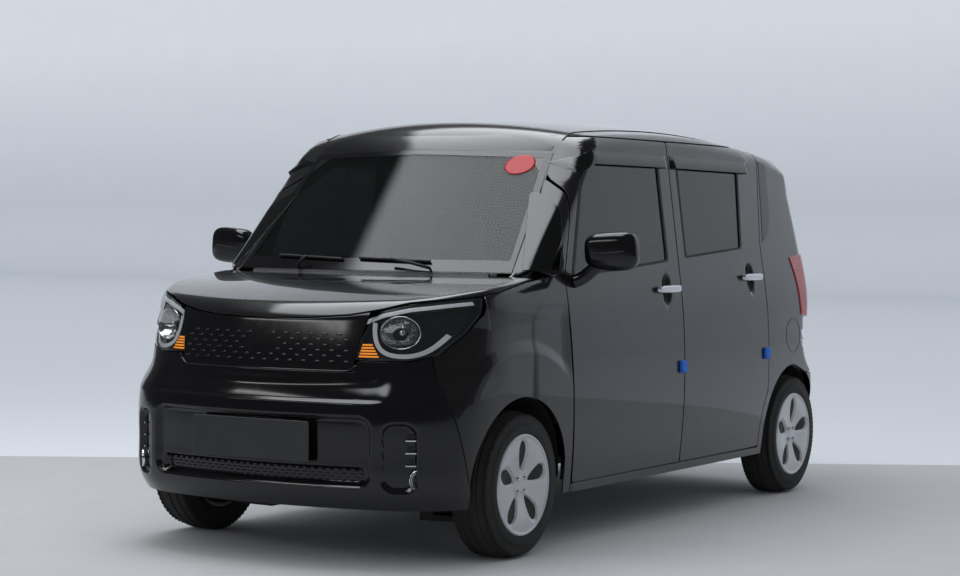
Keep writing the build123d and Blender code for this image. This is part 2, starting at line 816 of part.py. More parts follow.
with BuildPart() as front_wheel_houses:
    with BuildSketch(Plane.YZ.offset(front_house_x)):
        with Locations((front_axle_y, hub_z)):
            Circle(liner_outer)
            Circle(liner_outer - liner_wall, mode=Mode.SUBTRACT)
        with Locations((front_axle_y, hub_z - 380 - 40)):
            Rectangle(900, 760, mode=Mode.SUBTRACT)
    extrude(amount=350)
    with BuildSketch(Plane.YZ.offset(front_house_x - liner_wall)):
        with Locations((front_axle_y, hub_z)):
            Circle(liner_outer)
        with Locations((front_axle_y, hub_z - 380 + 120)):
            Rectangle(900, 760, mode=Mode.SUBTRACT)
    extrude(amount=liner_wall)
    with BuildSketch(Plane.XY.offset(hub_z + liner_outer - 20)):
        with Locations((strut_top_x + 8, front_axle_y)):
            Circle(tower_radius)
    extrude(amount=strut_top_z + 8 - hub_z - liner_outer + 20)
    with BuildSketch(Plane.XY.offset(hub_z + liner_outer - 60)):
        with Locations((strut_top_x + 8, front_axle_y)):
            Circle(tower_radius - 6)
    extrude(amount=strut_top_z + seat - hub_z - liner_outer + 60, mode=Mode.SUBTRACT)
    add(panel_back, mode=Mode.INTERSECT)
    mirror(about=Plane.YZ)
front_wheel_houses.part.label = "front_wheel_houses"

with BuildPart() as rear_wheel_houses:
    with BuildSketch(Plane.YZ.offset(rear_house_x)):
        with Locations((rear_axle_y, hub_z)):
            Circle(liner_outer)
            Circle(liner_outer - liner_wall, mode=Mode.SUBTRACT)
        with Locations((rear_axle_y, hub_z - 380 - 20)):
            Rectangle(900, 760, mode=Mode.SUBTRACT)
    extrude(amount=200)
    with BuildSketch(Plane.YZ.offset(rear_house_x - liner_wall)):
        with Locations((rear_axle_y, hub_z)):
            Circle(liner_outer)
        with Locations((rear_axle_y, rear_floor_z - 380)):
            Rectangle(900, 760, mode=Mode.SUBTRACT)
    extrude(amount=liner_wall)
    add(panel_back, mode=Mode.INTERSECT)
    mirror(about=Plane.YZ)
rear_wheel_houses.part.label = "rear_wheel_houses"

# Subframe with its rails, cross members and lower arms
rail_top_z = floor_z
rail_back_y = -860
arm_top_z = kingpin_foot_z - 10
arm_thickness = 22
engine_y = -1385
with BuildPart() as front_subframe:
    rail_middle = ((rail_front_y + rail_back_y) / 2, (rail_z + rail_top_z) / 2)
    with Locations((-rail_x, *rail_middle), (rail_x, *rail_middle)):
        Box(rail_width, rail_back_y - rail_front_y, rail_top_z - rail_z)
    for y in (rail_front_y + 35, engine_y, front_axle_y, rail_back_y - 35):
        with Locations((0, y, (rail_z + rail_top_z) / 2)):
            Box(2 * rail_x, 70, rail_top_z - rail_z)
    with BuildSketch(Plane.XY.offset(arm_top_z - arm_thickness)):
        with BuildLine():
            Polyline(
                (kingpin_foot_x + 20, front_axle_y - 20),
                (kingpin_foot_x + 20, front_axle_y + 20),
                (540, front_axle_y + 30),
                (rail_x + 30, front_axle_y + 170),
                (rail_x - 30, front_axle_y + 170),
                (rail_x - 30, front_axle_y - 40),
                (540, front_axle_y - 30),
                close=True,
            )
        make_face()
        mirror(about=Plane.YZ)
    extrude(amount=arm_thickness)
    for side in (-1, 1):
        with Locations((side * rail_x, front_axle_y + 65, (arm_top_z + rail_z) / 2)):
            Box(rail_width, 210, rail_z - arm_top_z + 2)
front_subframe.part.label = "front_subframe"

# Engine with its gearbox as one block at its real place, and the radiator ahead of it
engine_width = 560
engine_height = 470
with BuildPart() as engine:
    with Locations((-40, engine_y, rail_top_z + engine_height / 2)):
        Box(engine_width, 330, engine_height)
    fillet(engine.edges().filter_by(Axis.Z), 30)
engine.part.label = "engine"

with BuildPart() as radiator:
    with Locations((0, rail_front_y + 20, rail_top_z + 170)):
        Box(640, 36, 340)
radiator.part.label = "radiator"

# Steering knuckles with their struts and stub axles
stub_end_x = wheel_x + 20
with BuildPart() as knuckle_left:
    axis_plane = Plane(origin=kingpin_point(330), z_dir=(-kingpin_lean, 0, 1), x_dir=(0, 1, 0))
    with BuildSketch(axis_plane):
        Circle(strut_radius)
    extrude(amount=(strut_top_z - 330 - strut_radius * kingpin_lean) * hypot(1, kingpin_lean))
    with BuildSketch(Plane.XZ.offset(-(front_axle_y - 40))):
        with BuildLine():
            Polyline(
                (kingpin_foot_x - 22, arm_top_z + gap),
                (kingpin_foot_x + 22, arm_top_z + gap),
                (kingpin_foot_x + 26, hub_z + 50),
                (kingpin_foot_x - 12, 400),
                (kingpin_foot_x - 52, 400),
                (kingpin_foot_x - 25, hub_z),
                close=True,
            )
        make_face()
    extrude(amount=-80)
    pin_foot_z = arm_top_z + seat + pin_radius * kingpin_lean
    pin_plane = Plane(origin=kingpin_point(pin_foot_z), z_dir=(-kingpin_lean, 0, 1), x_dir=(0, 1, 0))
    with BuildSketch(pin_plane):
        Circle(pin_radius)
    extrude(amount=30)
    with BuildSketch(Plane.YZ.offset(kingpin_foot_x)):
        with Locations((front_axle_y, hub_z)):
            Circle(stub_radius)
    extrude(amount=stub_end_x - kingpin_foot_x)
    with Locations((kingpin_foot_x - 10, front_axle_y + 80, 215)):
        Box(28, 130, 24)
knuckle_left.part.label = "knuckle_left"
knuckle_right = mirrored(knuckle_left.part)
knuckle_right.label = "knuckle_right"

# Rear torsion beam with its trailing arms and stub axles
arm_x = 505
beam_y = rear_axle_y - 190
with BuildPart() as rear_axle:
    with BuildSketch(Plane.YZ.offset(-arm_x)):
        with Locations((beam_y, hub_z)):
            Rectangle(70, 60)
            with Locations((0, -10)):
                Rectangle(58, 60, mode=Mode.SUBTRACT)
    extrude(amount=2 * arm_x)
    for side in (-1, 1):
        with Locations((side * arm_x, (rear_axle_y + 40 + rear_axle_y - 400) / 2, hub_z - 5)):
            Box(56, 440, 60)
        with Locations((side * arm_x, rear_axle_y - 390, (hub_z - 20 + floor_z + 100) / 2)):
            Box(50, 60, 150)
        with BuildSketch(Plane.YZ.offset(side * arm_x)):
            with Locations((rear_axle_y, hub_z)):
                Circle(stub_radius)
        extrude(amount=side * (stub_end_x - arm_x))
        with BuildSketch(Plane.YZ.offset(side * arm_x)):
            with Locations((rear_axle_y, hub_z)):
                Circle(60)
        extrude(amount=side * (kingpin_foot_x + 10 - arm_x))
        with BuildSketch(Plane.XY.offset(hub_z)):
            with Locations((side * arm_x, rear_axle_y + 10)):
                Circle(26)
        extrude(amount=rear_floor_z - hub_z)
rear_axle.part.label = "rear_axle"

with BuildPart() as fuel_tank:
    with Locations((-335, 640, floor_z - 49)):
        Box(400, 420, 98)
    fillet(fuel_tank.edges(), 20)
fuel_tank.part.label = "fuel_tank"

exhaust_route = [
    (0, -1060, 310),
    (0, 300, 310),
    (0, 420, 245),
    (250, 700, 240),
    (300, 1050, 240),
    (300, 1130, 348),
    (300, 1480, 348),
]
with BuildPart() as exhaust:
    with BuildLine():
        Polyline(*exhaust_route)
    with BuildSketch(Plane(origin=exhaust_route[0], z_dir=(0, 1, 0))):
        Circle(22)
    sweep(transition=Transition.ROUND)
    with Locations((300, 1560, 345)):
        Box(420, 190, 120)
    fillet(exhaust.edges().filter_by(Axis.X), 40)
    with BuildSketch(Plane.XZ.offset(-1640)):
        with Locations((exhaust_tip_x, exhaust_tip_z)):
            Circle(exhaust_tip_radius)
    extrude(amount=-80)
exhaust.part.label = "exhaust"

# Wheels: steel rim and disc under a slotted cover, and a tyre
lip_x = rim_width / 2
cover_x = lip_x + 5
slot_count = 5


def wheel_and_cover():
    """One wheel about the X axis at its centre, outer side towards +X."""
    with BuildPart() as wheel:
        with BuildSketch(Plane.XY):
            with BuildLine():
                Polyline(
                    (-lip_x - 5, bead_radius - rim_wall),
                    (12, bead_radius - rim_wall),
                    (12, 34),
                    (-36, 34),
                    (-36, stub_radius + seat),
                    (24, stub_radius + seat),
                    (24, 40),
                    (18, 46),
                    (18, bead_radius - rim_wall),
                    (cover_x, bead_radius - rim_wall),
                    (cover_x, bead_radius + 10),
                    (lip_x, bead_radius + 10),
                    (lip_x, bead_radius),
                    (-lip_x, bead_radius),
                    (-lip_x, bead_radius + 10),
                    (-lip_x - 5, bead_radius + 10),
                    close=True,
                )
            make_face()
        revolve(axis=Axis.X)
    with BuildPart() as cover:
        with BuildSketch(Plane.XY):
            with BuildLine():
                Line((cover_x - 12, 0), (cover_x - 12, 52))
                Spline((cover_x - 12, 52), (cover_x - 11, 120), (cover_x, 174))
                Polyline((cover_x, 174), (cover_x, cover_radius), (cover_x + 4, cover_radius - 2))
                Line((cover_x + 4, cover_radius - 2), (cover_x + 4, 176))
                Spline((cover_x + 4, 176), (cover_x - 7, 122), (cover_x - 8, 54))
                Polyline((cover_x - 8, 54), (cover_x - 8, 0), (cover_x - 12, 0))
            make_face()
        revolve(axis=Axis.X)
        with BuildSketch(Plane.YZ.offset(cover_x - 30)):
            with PolarLocations(108, slot_count, start_angle=90):
                Ellipse(48, 24)
        extrude(amount=60, mode=Mode.SUBTRACT)
    return wheel.part + cover.part


def tyre_ring():
    """One tyre about the X axis at its centre."""
    with BuildPart() as tyre:
        with BuildSketch(Plane.XY):
            with BuildLine():
                Line((0, bead_radius + seat), (lip_x - seat, bead_radius + seat))
                Line((lip_x - seat, bead_radius + seat), (lip_x - seat, bead_radius + 14))
                Spline(
                    (lip_x - seat, bead_radius + 14),
                    (tyre_width / 2, (bead_radius + tyre_radius) / 2 + 6),
                    (tyre_width / 2 - 10, tyre_radius - 16),
                )
                Spline(
                    (tyre_width / 2 - 10, tyre_radius - 16),
                    (tyre_width / 2 - 20, tyre_radius - 4),
                    (tyre_width / 2 - 34, tyre_radius - 1),
                    (0, tyre_radius),
                )
                mirror(about=Plane.YZ)
            make_face()
        revolve(axis=Axis.X)
    return tyre.part


wheel_shape = wheel_and_cover()
tyre_shape = tyre_ring()
wheels = {}
for end, axle_y in (("front", front_axle_y), ("rear", rear_axle_y)):
    left = Location((wheel_x, axle_y, hub_z))
    right = Location((-wheel_x, axle_y, hub_z), (0, 0, 180))
    wheels["wheel_" + end + "_left"] = wheel_shape.moved(left)
    wheels["wheel_" + end + "_right"] = wheel_shape.moved(right)
    wheels["tyre_" + end + "_left"] = tyre_shape.moved(left)
    wheels["tyre_" + end + "_right"] = tyre_shape.moved(right)

# Door mirrors and handles
mirror_z = 1145
mirror_y = -700
with BuildPart() as door_mirror_left:
    with BuildSketch(Plane.XZ.offset(-(mirror_y - 55))) as face:
        with Locations((925, mirror_z)):
            RectangleRounded(216, 150, 55)
    extrude(amount=-110)
    fillet(door_mirror_left.edges().group_by(Axis.Y)[0], 40)
    fillet(door_mirror_left.edges().group_by(Axis.Y)[-1], 12)
    with BuildSketch(Plane.YZ.offset(700)):
        with Locations((-722, 1052)):
            RectangleRounded(64, 74, 16)
    extrude(amount=150)
    with Locations((850, -722, 1075)):
        Box(50, 40, 60)
    add(hull, mode=Mode.SUBTRACT)
door_mirror_left.part.label = "door_mirror_left"
door_mirror_right = mirrored(door_mirror_left.part)
door_mirror_right.label = "door_mirror_right"

handle_length = 245


def door_handle(y, z):
    """A bar handle over its recess, both feet on the door's skin."""
    with BuildPart() as handle:
        with BuildSketch(Plane.XY.offset(z - 13)):
            with BuildLine():
                ThreePointArc((760, y - handle_length / 2), (808, y), (760, y + handle_length / 2))
                Line((760, y + handle_length / 2), (760, y + handle_length / 2 - 30))
                ThreePointArc((760, y + handle_length / 2 - 30), (793, y), (760, y - handle_length / 2 + 30))
                Line((760, y - handle_length / 2 + 30), (760, y - handle_length / 2))
            make_face()
        extrude(amount=26)
        add(hull, mode=Mode.SUBTRACT)
    return handle.part


front_handle_left = door_handle(55, 983)
front_handle_right = mirrored(front_handle_left)
rear_handle_left = door_handle(907, 1019)
rear_handle_right = mirrored(rear_handle_left)

# Dashboard with the steering column, and the steering wheel
dash_half = 600
with BuildPart() as dashboard:
    with BuildSketch(Plane.YZ.offset(-dash_half)) as profile:
        with BuildLine():
            Polyline(
                (bulkhead_y + bulkhead_thickness, 1030),
                (-800, 1040),
                (-735, 1010),
                (-720, 900),
                (-770, 760),
                (-850, 690),
                (bulkhead_y + bulkhead_thickness, 690),
                close=True,
            )
        make_face()
        fillet(profile.vertices().group_by(Axis.X)[-1], 14)
    extrude(amount=2 * dash_half)
    add(cabin_wall, mode=Mode.INTERSECT)
    column = Plane(
        origin=(driver_x, -560, 930),
        x_dir=(1, 0, 0),
        z_dir=(0, cos(radians(column_tilt)), sin(radians(column_tilt))),
    )
    with BuildSketch(column.offset(-260)):
        Circle(34)
    extrude(amount=220)
dashboard.part.label = "dashboard"

with BuildPart() as steering_wheel:
    with BuildSketch(Plane(origin=column.origin, x_dir=column.x_dir, z_dir=column.y_dir)):
        with Locations((steering_wheel_radius, 0)):
            Circle(14)
    revolve(axis=Axis(column.origin, column.z_dir))
    with BuildSketch(column.offset(-40 + seat)):
        Circle(30)
    extrude(amount=30)
    with BuildSketch(column.offset(-22)):
        RectangleRounded(150, 120, 40)
        with Locations((0, -70)):
            Rectangle(44, 200)
        Rectangle(2 * steering_wheel_radius - 8, 36)
    extrude(amount=24)
steering_wheel.part.label = "steering_wheel"

# Seats as plain closed forms
seat_x = driver_x
with BuildPart() as front_seats:
    for x in (-seat_x, seat_x):
        with Locations((x, -215, (floor_top_z + 430) / 2)):
            Box(400, 400, 430 - floor_top_z)
        with Locations((x, -200, 500)):
            Box(500, 520, 140)
        with BuildSketch(Plane.YZ.offset(x - 235)):
            with BuildLine():
                Polyline((-40, 470), (90, 470), (232, 1090), (140, 1110), close=True)
            make_face()
        extrude(amount=470)
        with Locations((x, 210, 1205)):
            Box(250, 100, 200)
front_seats.part.label = "front_seats"

rear_seat_half = 575
with BuildPart() as rear_seat:
    with Locations((0, 790, (floor_top_z + 440) / 2)):
        Box(2 * rear_seat_half, 130, 440 - floor_top_z)
    tunnel_foot_half = tunnel_half + floor_thickness
    add(box(-tunnel_foot_half, tunnel_foot_half, 700, kick_y, floor_top_z, tunnel_top_z), mode=Mode.SUBTRACT)
    with Locations((0, 870, 505)):
        Box(2 * rear_seat_half, 500, 130)
    with BuildSketch(Plane.YZ.offset(-rear_seat_half)):
        with BuildLine():
            Polyline((1050, 440), (1190, 440), (1290, 1010), (1190, 1030), close=True)
        make_face()
    extrude(amount=2 * rear_seat_half)
    with Locations((-330, 1260, 1095), (330, 1260, 1095)):
        Box(240, 90, 150)
rear_seat.part.label = "rear_seat"

handles = {
    "front_handle_left": front_handle_left,
    "front_handle_right": front_handle_right,
    "rear_handle_left": rear_handle_left,
    "rear_handle_right": rear_handle_right,
}

os.makedirs("parts", exist_ok=True)
blocks = [
    body_side_left,
    windscreen_header,
    rear_frame,
    bulkhead,
    roof,
    floor_pan,
    front_wheel_houses,
    rear_wheel_houses,
    bonnet,
    front_bumper,
    grille,
    headlamps,
    wing_left,
    scuttle,
    rear_bumper,
    tail_lamps,
    windscreen,
    side_glasses,
    front_door_left,
    front_door_glass_left,
    rear_door_left,
    rear_door_glass_left,
    tailgate,
    tailgate_glass,
    door_mirror_left,
    dashboard,
    steering_wheel,
    front_seats,
    rear_seat,
    front_subframe,
    engine,
    radiator,
    knuckle_left,
    rear_axle,
    fuel_tank,
    exhaust,
]
for block in blocks:
    export_step(block.part, "parts/" + block.part.label + ".step")
for other in (
    body_side_right,
    wing_right,
    front_door_right,
    front_door_glass_right,
    rear_door_right,
    rear_door_glass_right,
    door_mirror_right,
    knuckle_right,
):
    export_step(other, "parts/" + other.label + ".step")
for name, shape in {**handles, **wheels}.items():
    shape.label = name
    export_step(shape, "parts/" + name + ".step")
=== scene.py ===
import json

import bpy
import numpy as np
from mathutils import Matrix


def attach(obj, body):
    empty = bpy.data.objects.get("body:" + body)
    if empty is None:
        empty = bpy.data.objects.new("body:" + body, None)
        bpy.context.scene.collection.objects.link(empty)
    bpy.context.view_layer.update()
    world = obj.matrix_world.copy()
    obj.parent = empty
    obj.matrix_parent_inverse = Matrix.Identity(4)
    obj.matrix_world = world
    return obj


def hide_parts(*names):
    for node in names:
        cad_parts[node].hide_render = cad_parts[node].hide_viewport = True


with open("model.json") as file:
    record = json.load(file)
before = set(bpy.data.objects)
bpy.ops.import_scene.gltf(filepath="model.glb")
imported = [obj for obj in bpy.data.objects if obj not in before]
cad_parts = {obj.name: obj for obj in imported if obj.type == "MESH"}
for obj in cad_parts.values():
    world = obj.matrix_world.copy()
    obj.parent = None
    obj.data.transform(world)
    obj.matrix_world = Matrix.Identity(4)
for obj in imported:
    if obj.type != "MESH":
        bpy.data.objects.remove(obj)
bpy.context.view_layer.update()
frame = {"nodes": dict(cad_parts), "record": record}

bl_info = {
    "name": "Boxy City Car",
    "version": (1, 0, 0),
    "blender": (4, 5, 0),
    "location": "View3D > Sidebar > City Car",
    "description": "Builds the looks of a boxy five-door city car round its packed frame",
    "category": "Object",
}

# The car's own levels and stations, in metres: nose towards -Y, its left-hand side towards +X.
NOSE, TAIL = -1.7975, 1.7975
FRONT_AXLE, REAR_AXLE, HUB = -1.1425, 1.3775, 0.277
WHEEL_X, TYRE_RADIUS, COVER_RADIUS = 0.702, 0.277, 0.193
EDGE = 0.0015


# The body's surface, as a distance that is nought on it and negative inside.


def through(knots, values):
    """Natural cubic through the knots, straight beyond both ends."""
    k, v = np.asarray(knots, float), np.asarray(values, float)
    h, a, b = np.diff(k), np.eye(len(k)), np.zeros(len(k))
    for i in range(1, len(k) - 1):
        a[i, i - 1 : i + 2] = h[i - 1], 2 * (h[i - 1] + h[i]), h[i]
        b[i] = 6 * ((v[i + 1] - v[i]) / h[i] - (v[i] - v[i - 1]) / h[i - 1])
    m = np.linalg.solve(a, b)
    first = (v[1] - v[0]) / h[0] - h[0] * (2 * m[0] + m[1]) / 6
    last = (v[-1] - v[-2]) / h[-1] + h[-1] * (m[-2] + 2 * m[-1]) / 6

    def at(x):
        x = np.asarray(x, float)
        c = np.clip(x, k[0], k[-1])
        i = np.clip(np.searchsorted(k, c) - 1, 0, len(h) - 1)
        s, t = c - k[i], k[i + 1] - c
        curve = (m[i] * t**3 + m[i + 1] * s**3) / (6 * h[i])
        chord = (v[i] / h[i] - m[i] * h[i] / 6) * t + (v[i + 1] / h[i] - m[i + 1] * h[i] / 6) * s
        return curve + chord + np.minimum(x - k[0], 0) * first + np.maximum(x - k[-1], 0) * last

    return at


nose_line = through([0.19, 0.262, 0.40, 0.52, 0.70, 0.80, 0.90], NOSE + np.array([0.082, 0.022, 0.002, 0, 0.026, 0.044, 0.066]))
bonnet_line = through([-1.75, -1.65, -1.50, -1.30, -1.1075], [0.930, 0.959, 0.998, 1.031, 1.052])
tail_line = through(
    [0.19, 0.25, 0.36, 0.47, 0.52, 0.545, 0.56, 0.584, 0.85, 1.12, 1.40, 1.56, 1.65],
    TAIL - np.array([0.055, 0.018, 0.001, 0.002, 0.004, 0.008, 0.018, 0.048, 0.062, 0.090, 0.180, 0.262, 0.360]),
)


def corner(a, b, radius):
    """Two faces' distances as one, with a round edge: the length of both beyond minus the radius."""
    return np.minimum(np.maximum(a, b), -radius) + np.hypot(np.maximum(a + radius, 0), np.maximum(b + radius, 0))


def ease(x, low, high):
    """From 0 at low to 1 at high along 3t^2 - 2t^3."""
    t = np.clip((np.asarray(x, float) - low) / (high - low), 0, 1)
    return t * t * (3 - 2 * t)


def flank(y, z):
    """Half the width: a parabola up to the belt, straight above it, less a fourth-power taper to each end."""
    fall = np.where(z < 1.024, 0.165 * (z - 0.62) ** 2, 0.0269 + 0.1333 * (z - 1.024))
    taper = np.where(y < 0, 0.058 - 0.022 * ease(z, 0.7, 0.95), 0.042)
    return 0.7975 - fall - taper * (np.abs(y) / 1.7975) ** 4


def body(p):
    """Distance outside the body: nose and cabin, each of its faces joined by round edges, and the two together."""
    x, y, z = p[..., 0], p[..., 1], p[..., 2]
    side = np.abs(x) - flank(y, z)
    turned = 1.2825 - np.hypot(x, y - 1.2825)
    screen = (-1.1075 + (np.maximum(z, 0.9) - 1.052) * 0.94828 - turned) * 0.725
    roof = z - (1.7 - (y - 0.25) ** 2 / 17 - 0.151 * x**2)
    back = np.hypot(x, y + 1.8025) - 1.8025 - tail_line(z)
    plan = nose_line(z) + 0.1 * x**2 + (0.016 + 0.08 * x**2) * ease(z, 0.60, 0.72)
    nose = corner(corner(plan - turned, np.abs(x) - 0.7985, 0.30), side, 0.03)
    nose = corner(nose, z - bonnet_line(turned), 0.05)
    cabin = corner(corner(screen, side, 0.030 + 0.030 * ease(z, 1.5, 1.1)), roof, 0.045)
    return corner(np.minimum(nose, cabin), back, 0.03 + 0.075 * ease(z, 1.62, 1.37))


def slope(p, field=body):
    """The field's rise along each axis, from values half a millimetre to both sides."""
    steps = np.eye(3) * 0.0005
    return np.stack([(field(p + s) - field(p - s)) / 0.001 for s in steps], -1)


def unit(v):
    return v / np.maximum(np.linalg.norm(v, axis=-1, keepdims=True), 1e-12)


def meet(start, direction, reach=1.4, field=body):
    """Where rays from inside leave the body: the span is halved until only the surface is left in it."""
    start, direction = np.broadcast_arrays(np.asarray(start, float), np.asarray(direction, float))
    low, high = np.zeros(start.shape[:-1]), np.full(start.shape[:-1], reach)
    for _ in range(34):
        middle = (low + high) / 2
        inside = field(start + middle[..., None] * direction) < 0
        low, high = np.where(inside, middle, low), np.where(inside, high, middle)
    return start + low[..., None] * direction


def press(p, depth=0.0, field=body):
    """Points moved along the slope until they lie on the surface, or that far under it."""
    for _ in range(12):
        g = slope(p, field)
        p = p - ((field(p) + depth) / np.maximum((g**2).sum(-1), 1e-9))[..., None] * g
    return p


def stack(x, y, z):
    return np.stack(np.broadcast_arrays(np.asarray(x, float), np.asarray(y, float), np.asarray(z, float)), -1)


def on_side(y, z):
    return meet(stack(0.3, y, z), stack(1.0, 0.0, 0.0))


def on_top(x, y):
    return meet(stack(x, y, 0.8), stack(0.0, 0.0, 1.0))


def on_back(x, z):
    return meet(stack(x, 1.2, z), stack(0.0, 1.0, 0.0))


def on_nose(turn, z):
    """Outwards from an upright line 0.6 m behind the nose, at an angle from straight ahead."""
    return meet(stack(0.0, -1.2, z), stack(np.sin(turn), -np.cos(turn), 0.0))


nose_turns = np.linspace(-1.45, 1.45, 291)
nose_places = on_nose(nose_turns, np.full(291, 0.85))[:, 0]


def on_front(x, z):
    return on_nose(np.interp(x, nose_places, nose_turns), z)


# Curves, grids and closed shells


def along(points, count):
    """Points at even spacing along a run of straight pieces."""
    points = np.asarray(points, float)
    run = np.concatenate([[0], np.cumsum(np.linalg.norm(np.diff(points, axis=0), axis=1))])
    at = np.linspace(0, run[-1], count)
    return np.stack([np.interp(at, run, column) for column in points.T], -1)


def side_curve(points, count):
    y, z = along(points, count).T
    return on_side(y, z)


def front_curve(points, count):
    x, z = along(points, count).T
    return on_front(x, z)


def loop(sides, counts, soften=0.012):
    """A closed outline from its sides, each with its own number of points; a running mean over twice soften rounds the corners."""
    dense, marks = [], []
    for side in sides:
        side = np.asarray(side, float)
        steps = max(int(np.linalg.norm(np.diff(side, axis=0), axis=1).sum() / 0.001), 8)
        marks.append(sum(len(d) for d in dense))
        dense.append(along(side, steps + 1)[:-1])
    ring = np.concatenate(dense)
    marks.append(len(ring))
    width = max(int(soften / 0.001), 1)
    wide = np.concatenate([ring[-2 * width :], ring, ring[: 2 * width]])
    for _ in range(2):
        kernel = np.ones(2 * (width // 2) + 1) / (2 * (width // 2) + 1)
        wide = np.stack([np.convolve(c, kernel, "same") for c in wide.T], -1)
    ring = wide[2 * width : len(wide) - 2 * width]
    picks = [np.linspace(a, b, n + 1)[:-1] for a, b, n in zip(marks[:-1], marks[1:], counts)]
    at = np.concatenate(picks)
    base = np.arange(len(ring) + 1)
    closed = np.vstack([ring, ring[:1]])
    return np.stack([np.interp(at, base, c) for c in closed.T], -1)


def crowded(count, length, near=0.0015):
    """Steps from 0 to 1, even but for a support row close to each end."""
    even = np.linspace(0, 1, count)
    ends = np.array([near, 3 * near]) / length
    return np.unique(np.concatenate([even, ends, 1 - ends]).round(7))


def coons(south, north, west, east, field=body, depth=0.0, near=0.0015):
    """A grid between four curves, by Coons' rule, pressed on to the surface."""
    u = crowded(len(south), np.linalg.norm(np.diff(south, axis=0), axis=1).sum(), near)
    v = crowded(len(west), np.linalg.norm(np.diff(west, axis=0), axis=1).sum(), near)

    def pick(curve, at):
        base = np.linspace(0, 1, len(curve))
        return np.stack([np.interp(at, base, c) for c in curve.T], -1)

    s, n, w, e = pick(south, u), pick(north, u), pick(west, v), pick(east, v)
    a, b = u[:, None, None], v[None, :, None]
    grid = (1 - b) * s[:, None] + b * n[:, None] + (1 - a) * w[None] + a * e[None]
    grid = grid - (1 - a) * (1 - b) * s[0] - a * (1 - b) * s[-1] - (1 - a) * b * n[0] - a * b * n[-1]
    return press(grid, depth, field)


def ring(outer, inner, rows, field=body, near=0.0015):
    """A grid from an outer loop to an inner one in straight steps, pressed on to the surface."""
    t = crowded(rows, np.linalg.norm(outer - inner, axis=1).mean(), near)[None, :, None]
    return press((1 - t) * outer[:, None] + t * inner[:, None], 0.0, field)


def quads(n, m, wrap_n=False, wrap_m=False, start=0):
    """Faces of an n by m grid of points, closed along either way if asked."""
    i, j = np.meshgrid(np.arange(n if wrap_n else n - 1), np.arange(m if wrap_m else m - 1), indexing="ij")
    k, l = (i + 1) % n, (j + 1) % m
    return start + np.stack([i * m + j, k * m + j, k * m + l, i * m + l], -1).reshape(-1, 4)


def normals(grid, field=body):
    return unit(slope(grid, field))


def sheet_shell(grid, thickness, lift=0.0, field=body, edge=EDGE):
    """A closed plate on a four-sided grid: the outer face, a quarter-round rim of that radius, a flat rim and the inner face."""
    out = normals(grid, field)
    grid = grid + out * lift
    n, m = grid.shape[:2]
    away = np.zeros_like(grid)
    away[0] += unit(grid[0] - grid[1])
    away[-1] += unit(grid[-1] - grid[-2])
    away[:, 0] += unit(grid[:, 0] - grid[:, 1])
    away[:, -1] += unit(grid[:, -1] - grid[:, -2])
    away = unit(away - (away * out).sum(-1, keepdims=True) * out)
    number = np.arange(n * m).reshape(n, m)
    rim = np.concatenate([number[:-1, 0], number[-1, :-1], number[:0:-1, -1], number[0, :0:-1]])
    p, t, o = grid.reshape(-1, 3)[rim], away.reshape(-1, 3)[rim], out.reshape(-1, 3)[rim]
    turns = np.radians([30, 60, 90])
    rows = [p + edge * (np.sin(a) * t - (1 - np.cos(a)) * o) for a in turns]
    rows += [p + edge * t - max(thickness - 0.0005, edge + 0.0002) * o]
    under = grid - thickness * out
    points = np.concatenate([grid.reshape(-1, 3), *rows, under.reshape(-1, 3)])
    count = len(rim)
    base, low = n * m, n * m + len(rows) * count
    chain = [rim] + [base + k * count + np.arange(count) for k in range(len(rows))] + [low + rim]
    faces = [quads(n, m), quads(n, m, start=low)[:, ::-1]]
    for a, b in zip(chain[:-1], chain[1:]):
        faces.append(np.stack([a, b, np.roll(b, -1), np.roll(a, -1)], -1))
    return points, np.concatenate(faces)


def ring_shell(grid, thickness, lift=0.0, field=body, edge=EDGE):
    """A closed plate on a ring grid: one loop of rows runs over the outer face, round both rims and back underneath."""
    out = normals(grid, field)
    grid = grid + out * lift

    def rim(k, neighbour):
        o = out[:, k]
        t = unit(grid[:, k] - grid[:, neighbour])
        t = unit(t - (t * o).sum(-1, keepdims=True) * o)
        rows = [grid[:, k] + edge * (np.sin(a) * t - (1 - np.cos(a)) * o) for a in np.radians([30, 60, 90])]
        return rows + [grid[:, k] + edge * t - max(thickness - 0.0005, edge + 0.0002) * o]

    under = grid - thickness * out
    rows = [grid[:, k] for k in range(grid.shape[1])] + rim(-1, -2)
    rows += [under[:, k] for k in range(grid.shape[1] - 1, -1, -1)] + rim(0, 1)[::-1]
    whole = np.stack(rows, 1)
    return whole.reshape(-1, 3), quads(*whole.shape[:2], True, True)


def joined(*parts):
    """Several (points, faces) as one."""
    points, faces, count = [], [], 0
    for p, f in parts:
        points.append(p)
        faces.append(f + count)
        count += len(p)
    return np.concatenate(points), np.concatenate(faces)


def flipped(part):
    """The same part on the other side of the car, its faces still outwards."""
    return part[0] * [-1, 1, 1], part[1][:, ::-1]


def outward(part):
    """The part with all its faces turned over if the volume that they enclose comes out negative."""
    p, f = part
    a, b, c, d = (p[f[:, k]] for k in range(4))
    volume = np.einsum("ij,ij->", a, np.cross(b, c)) + np.einsum("ij,ij->", a, np.cross(c, d))
    return (p, f[:, ::-1]) if volume < 0 else part


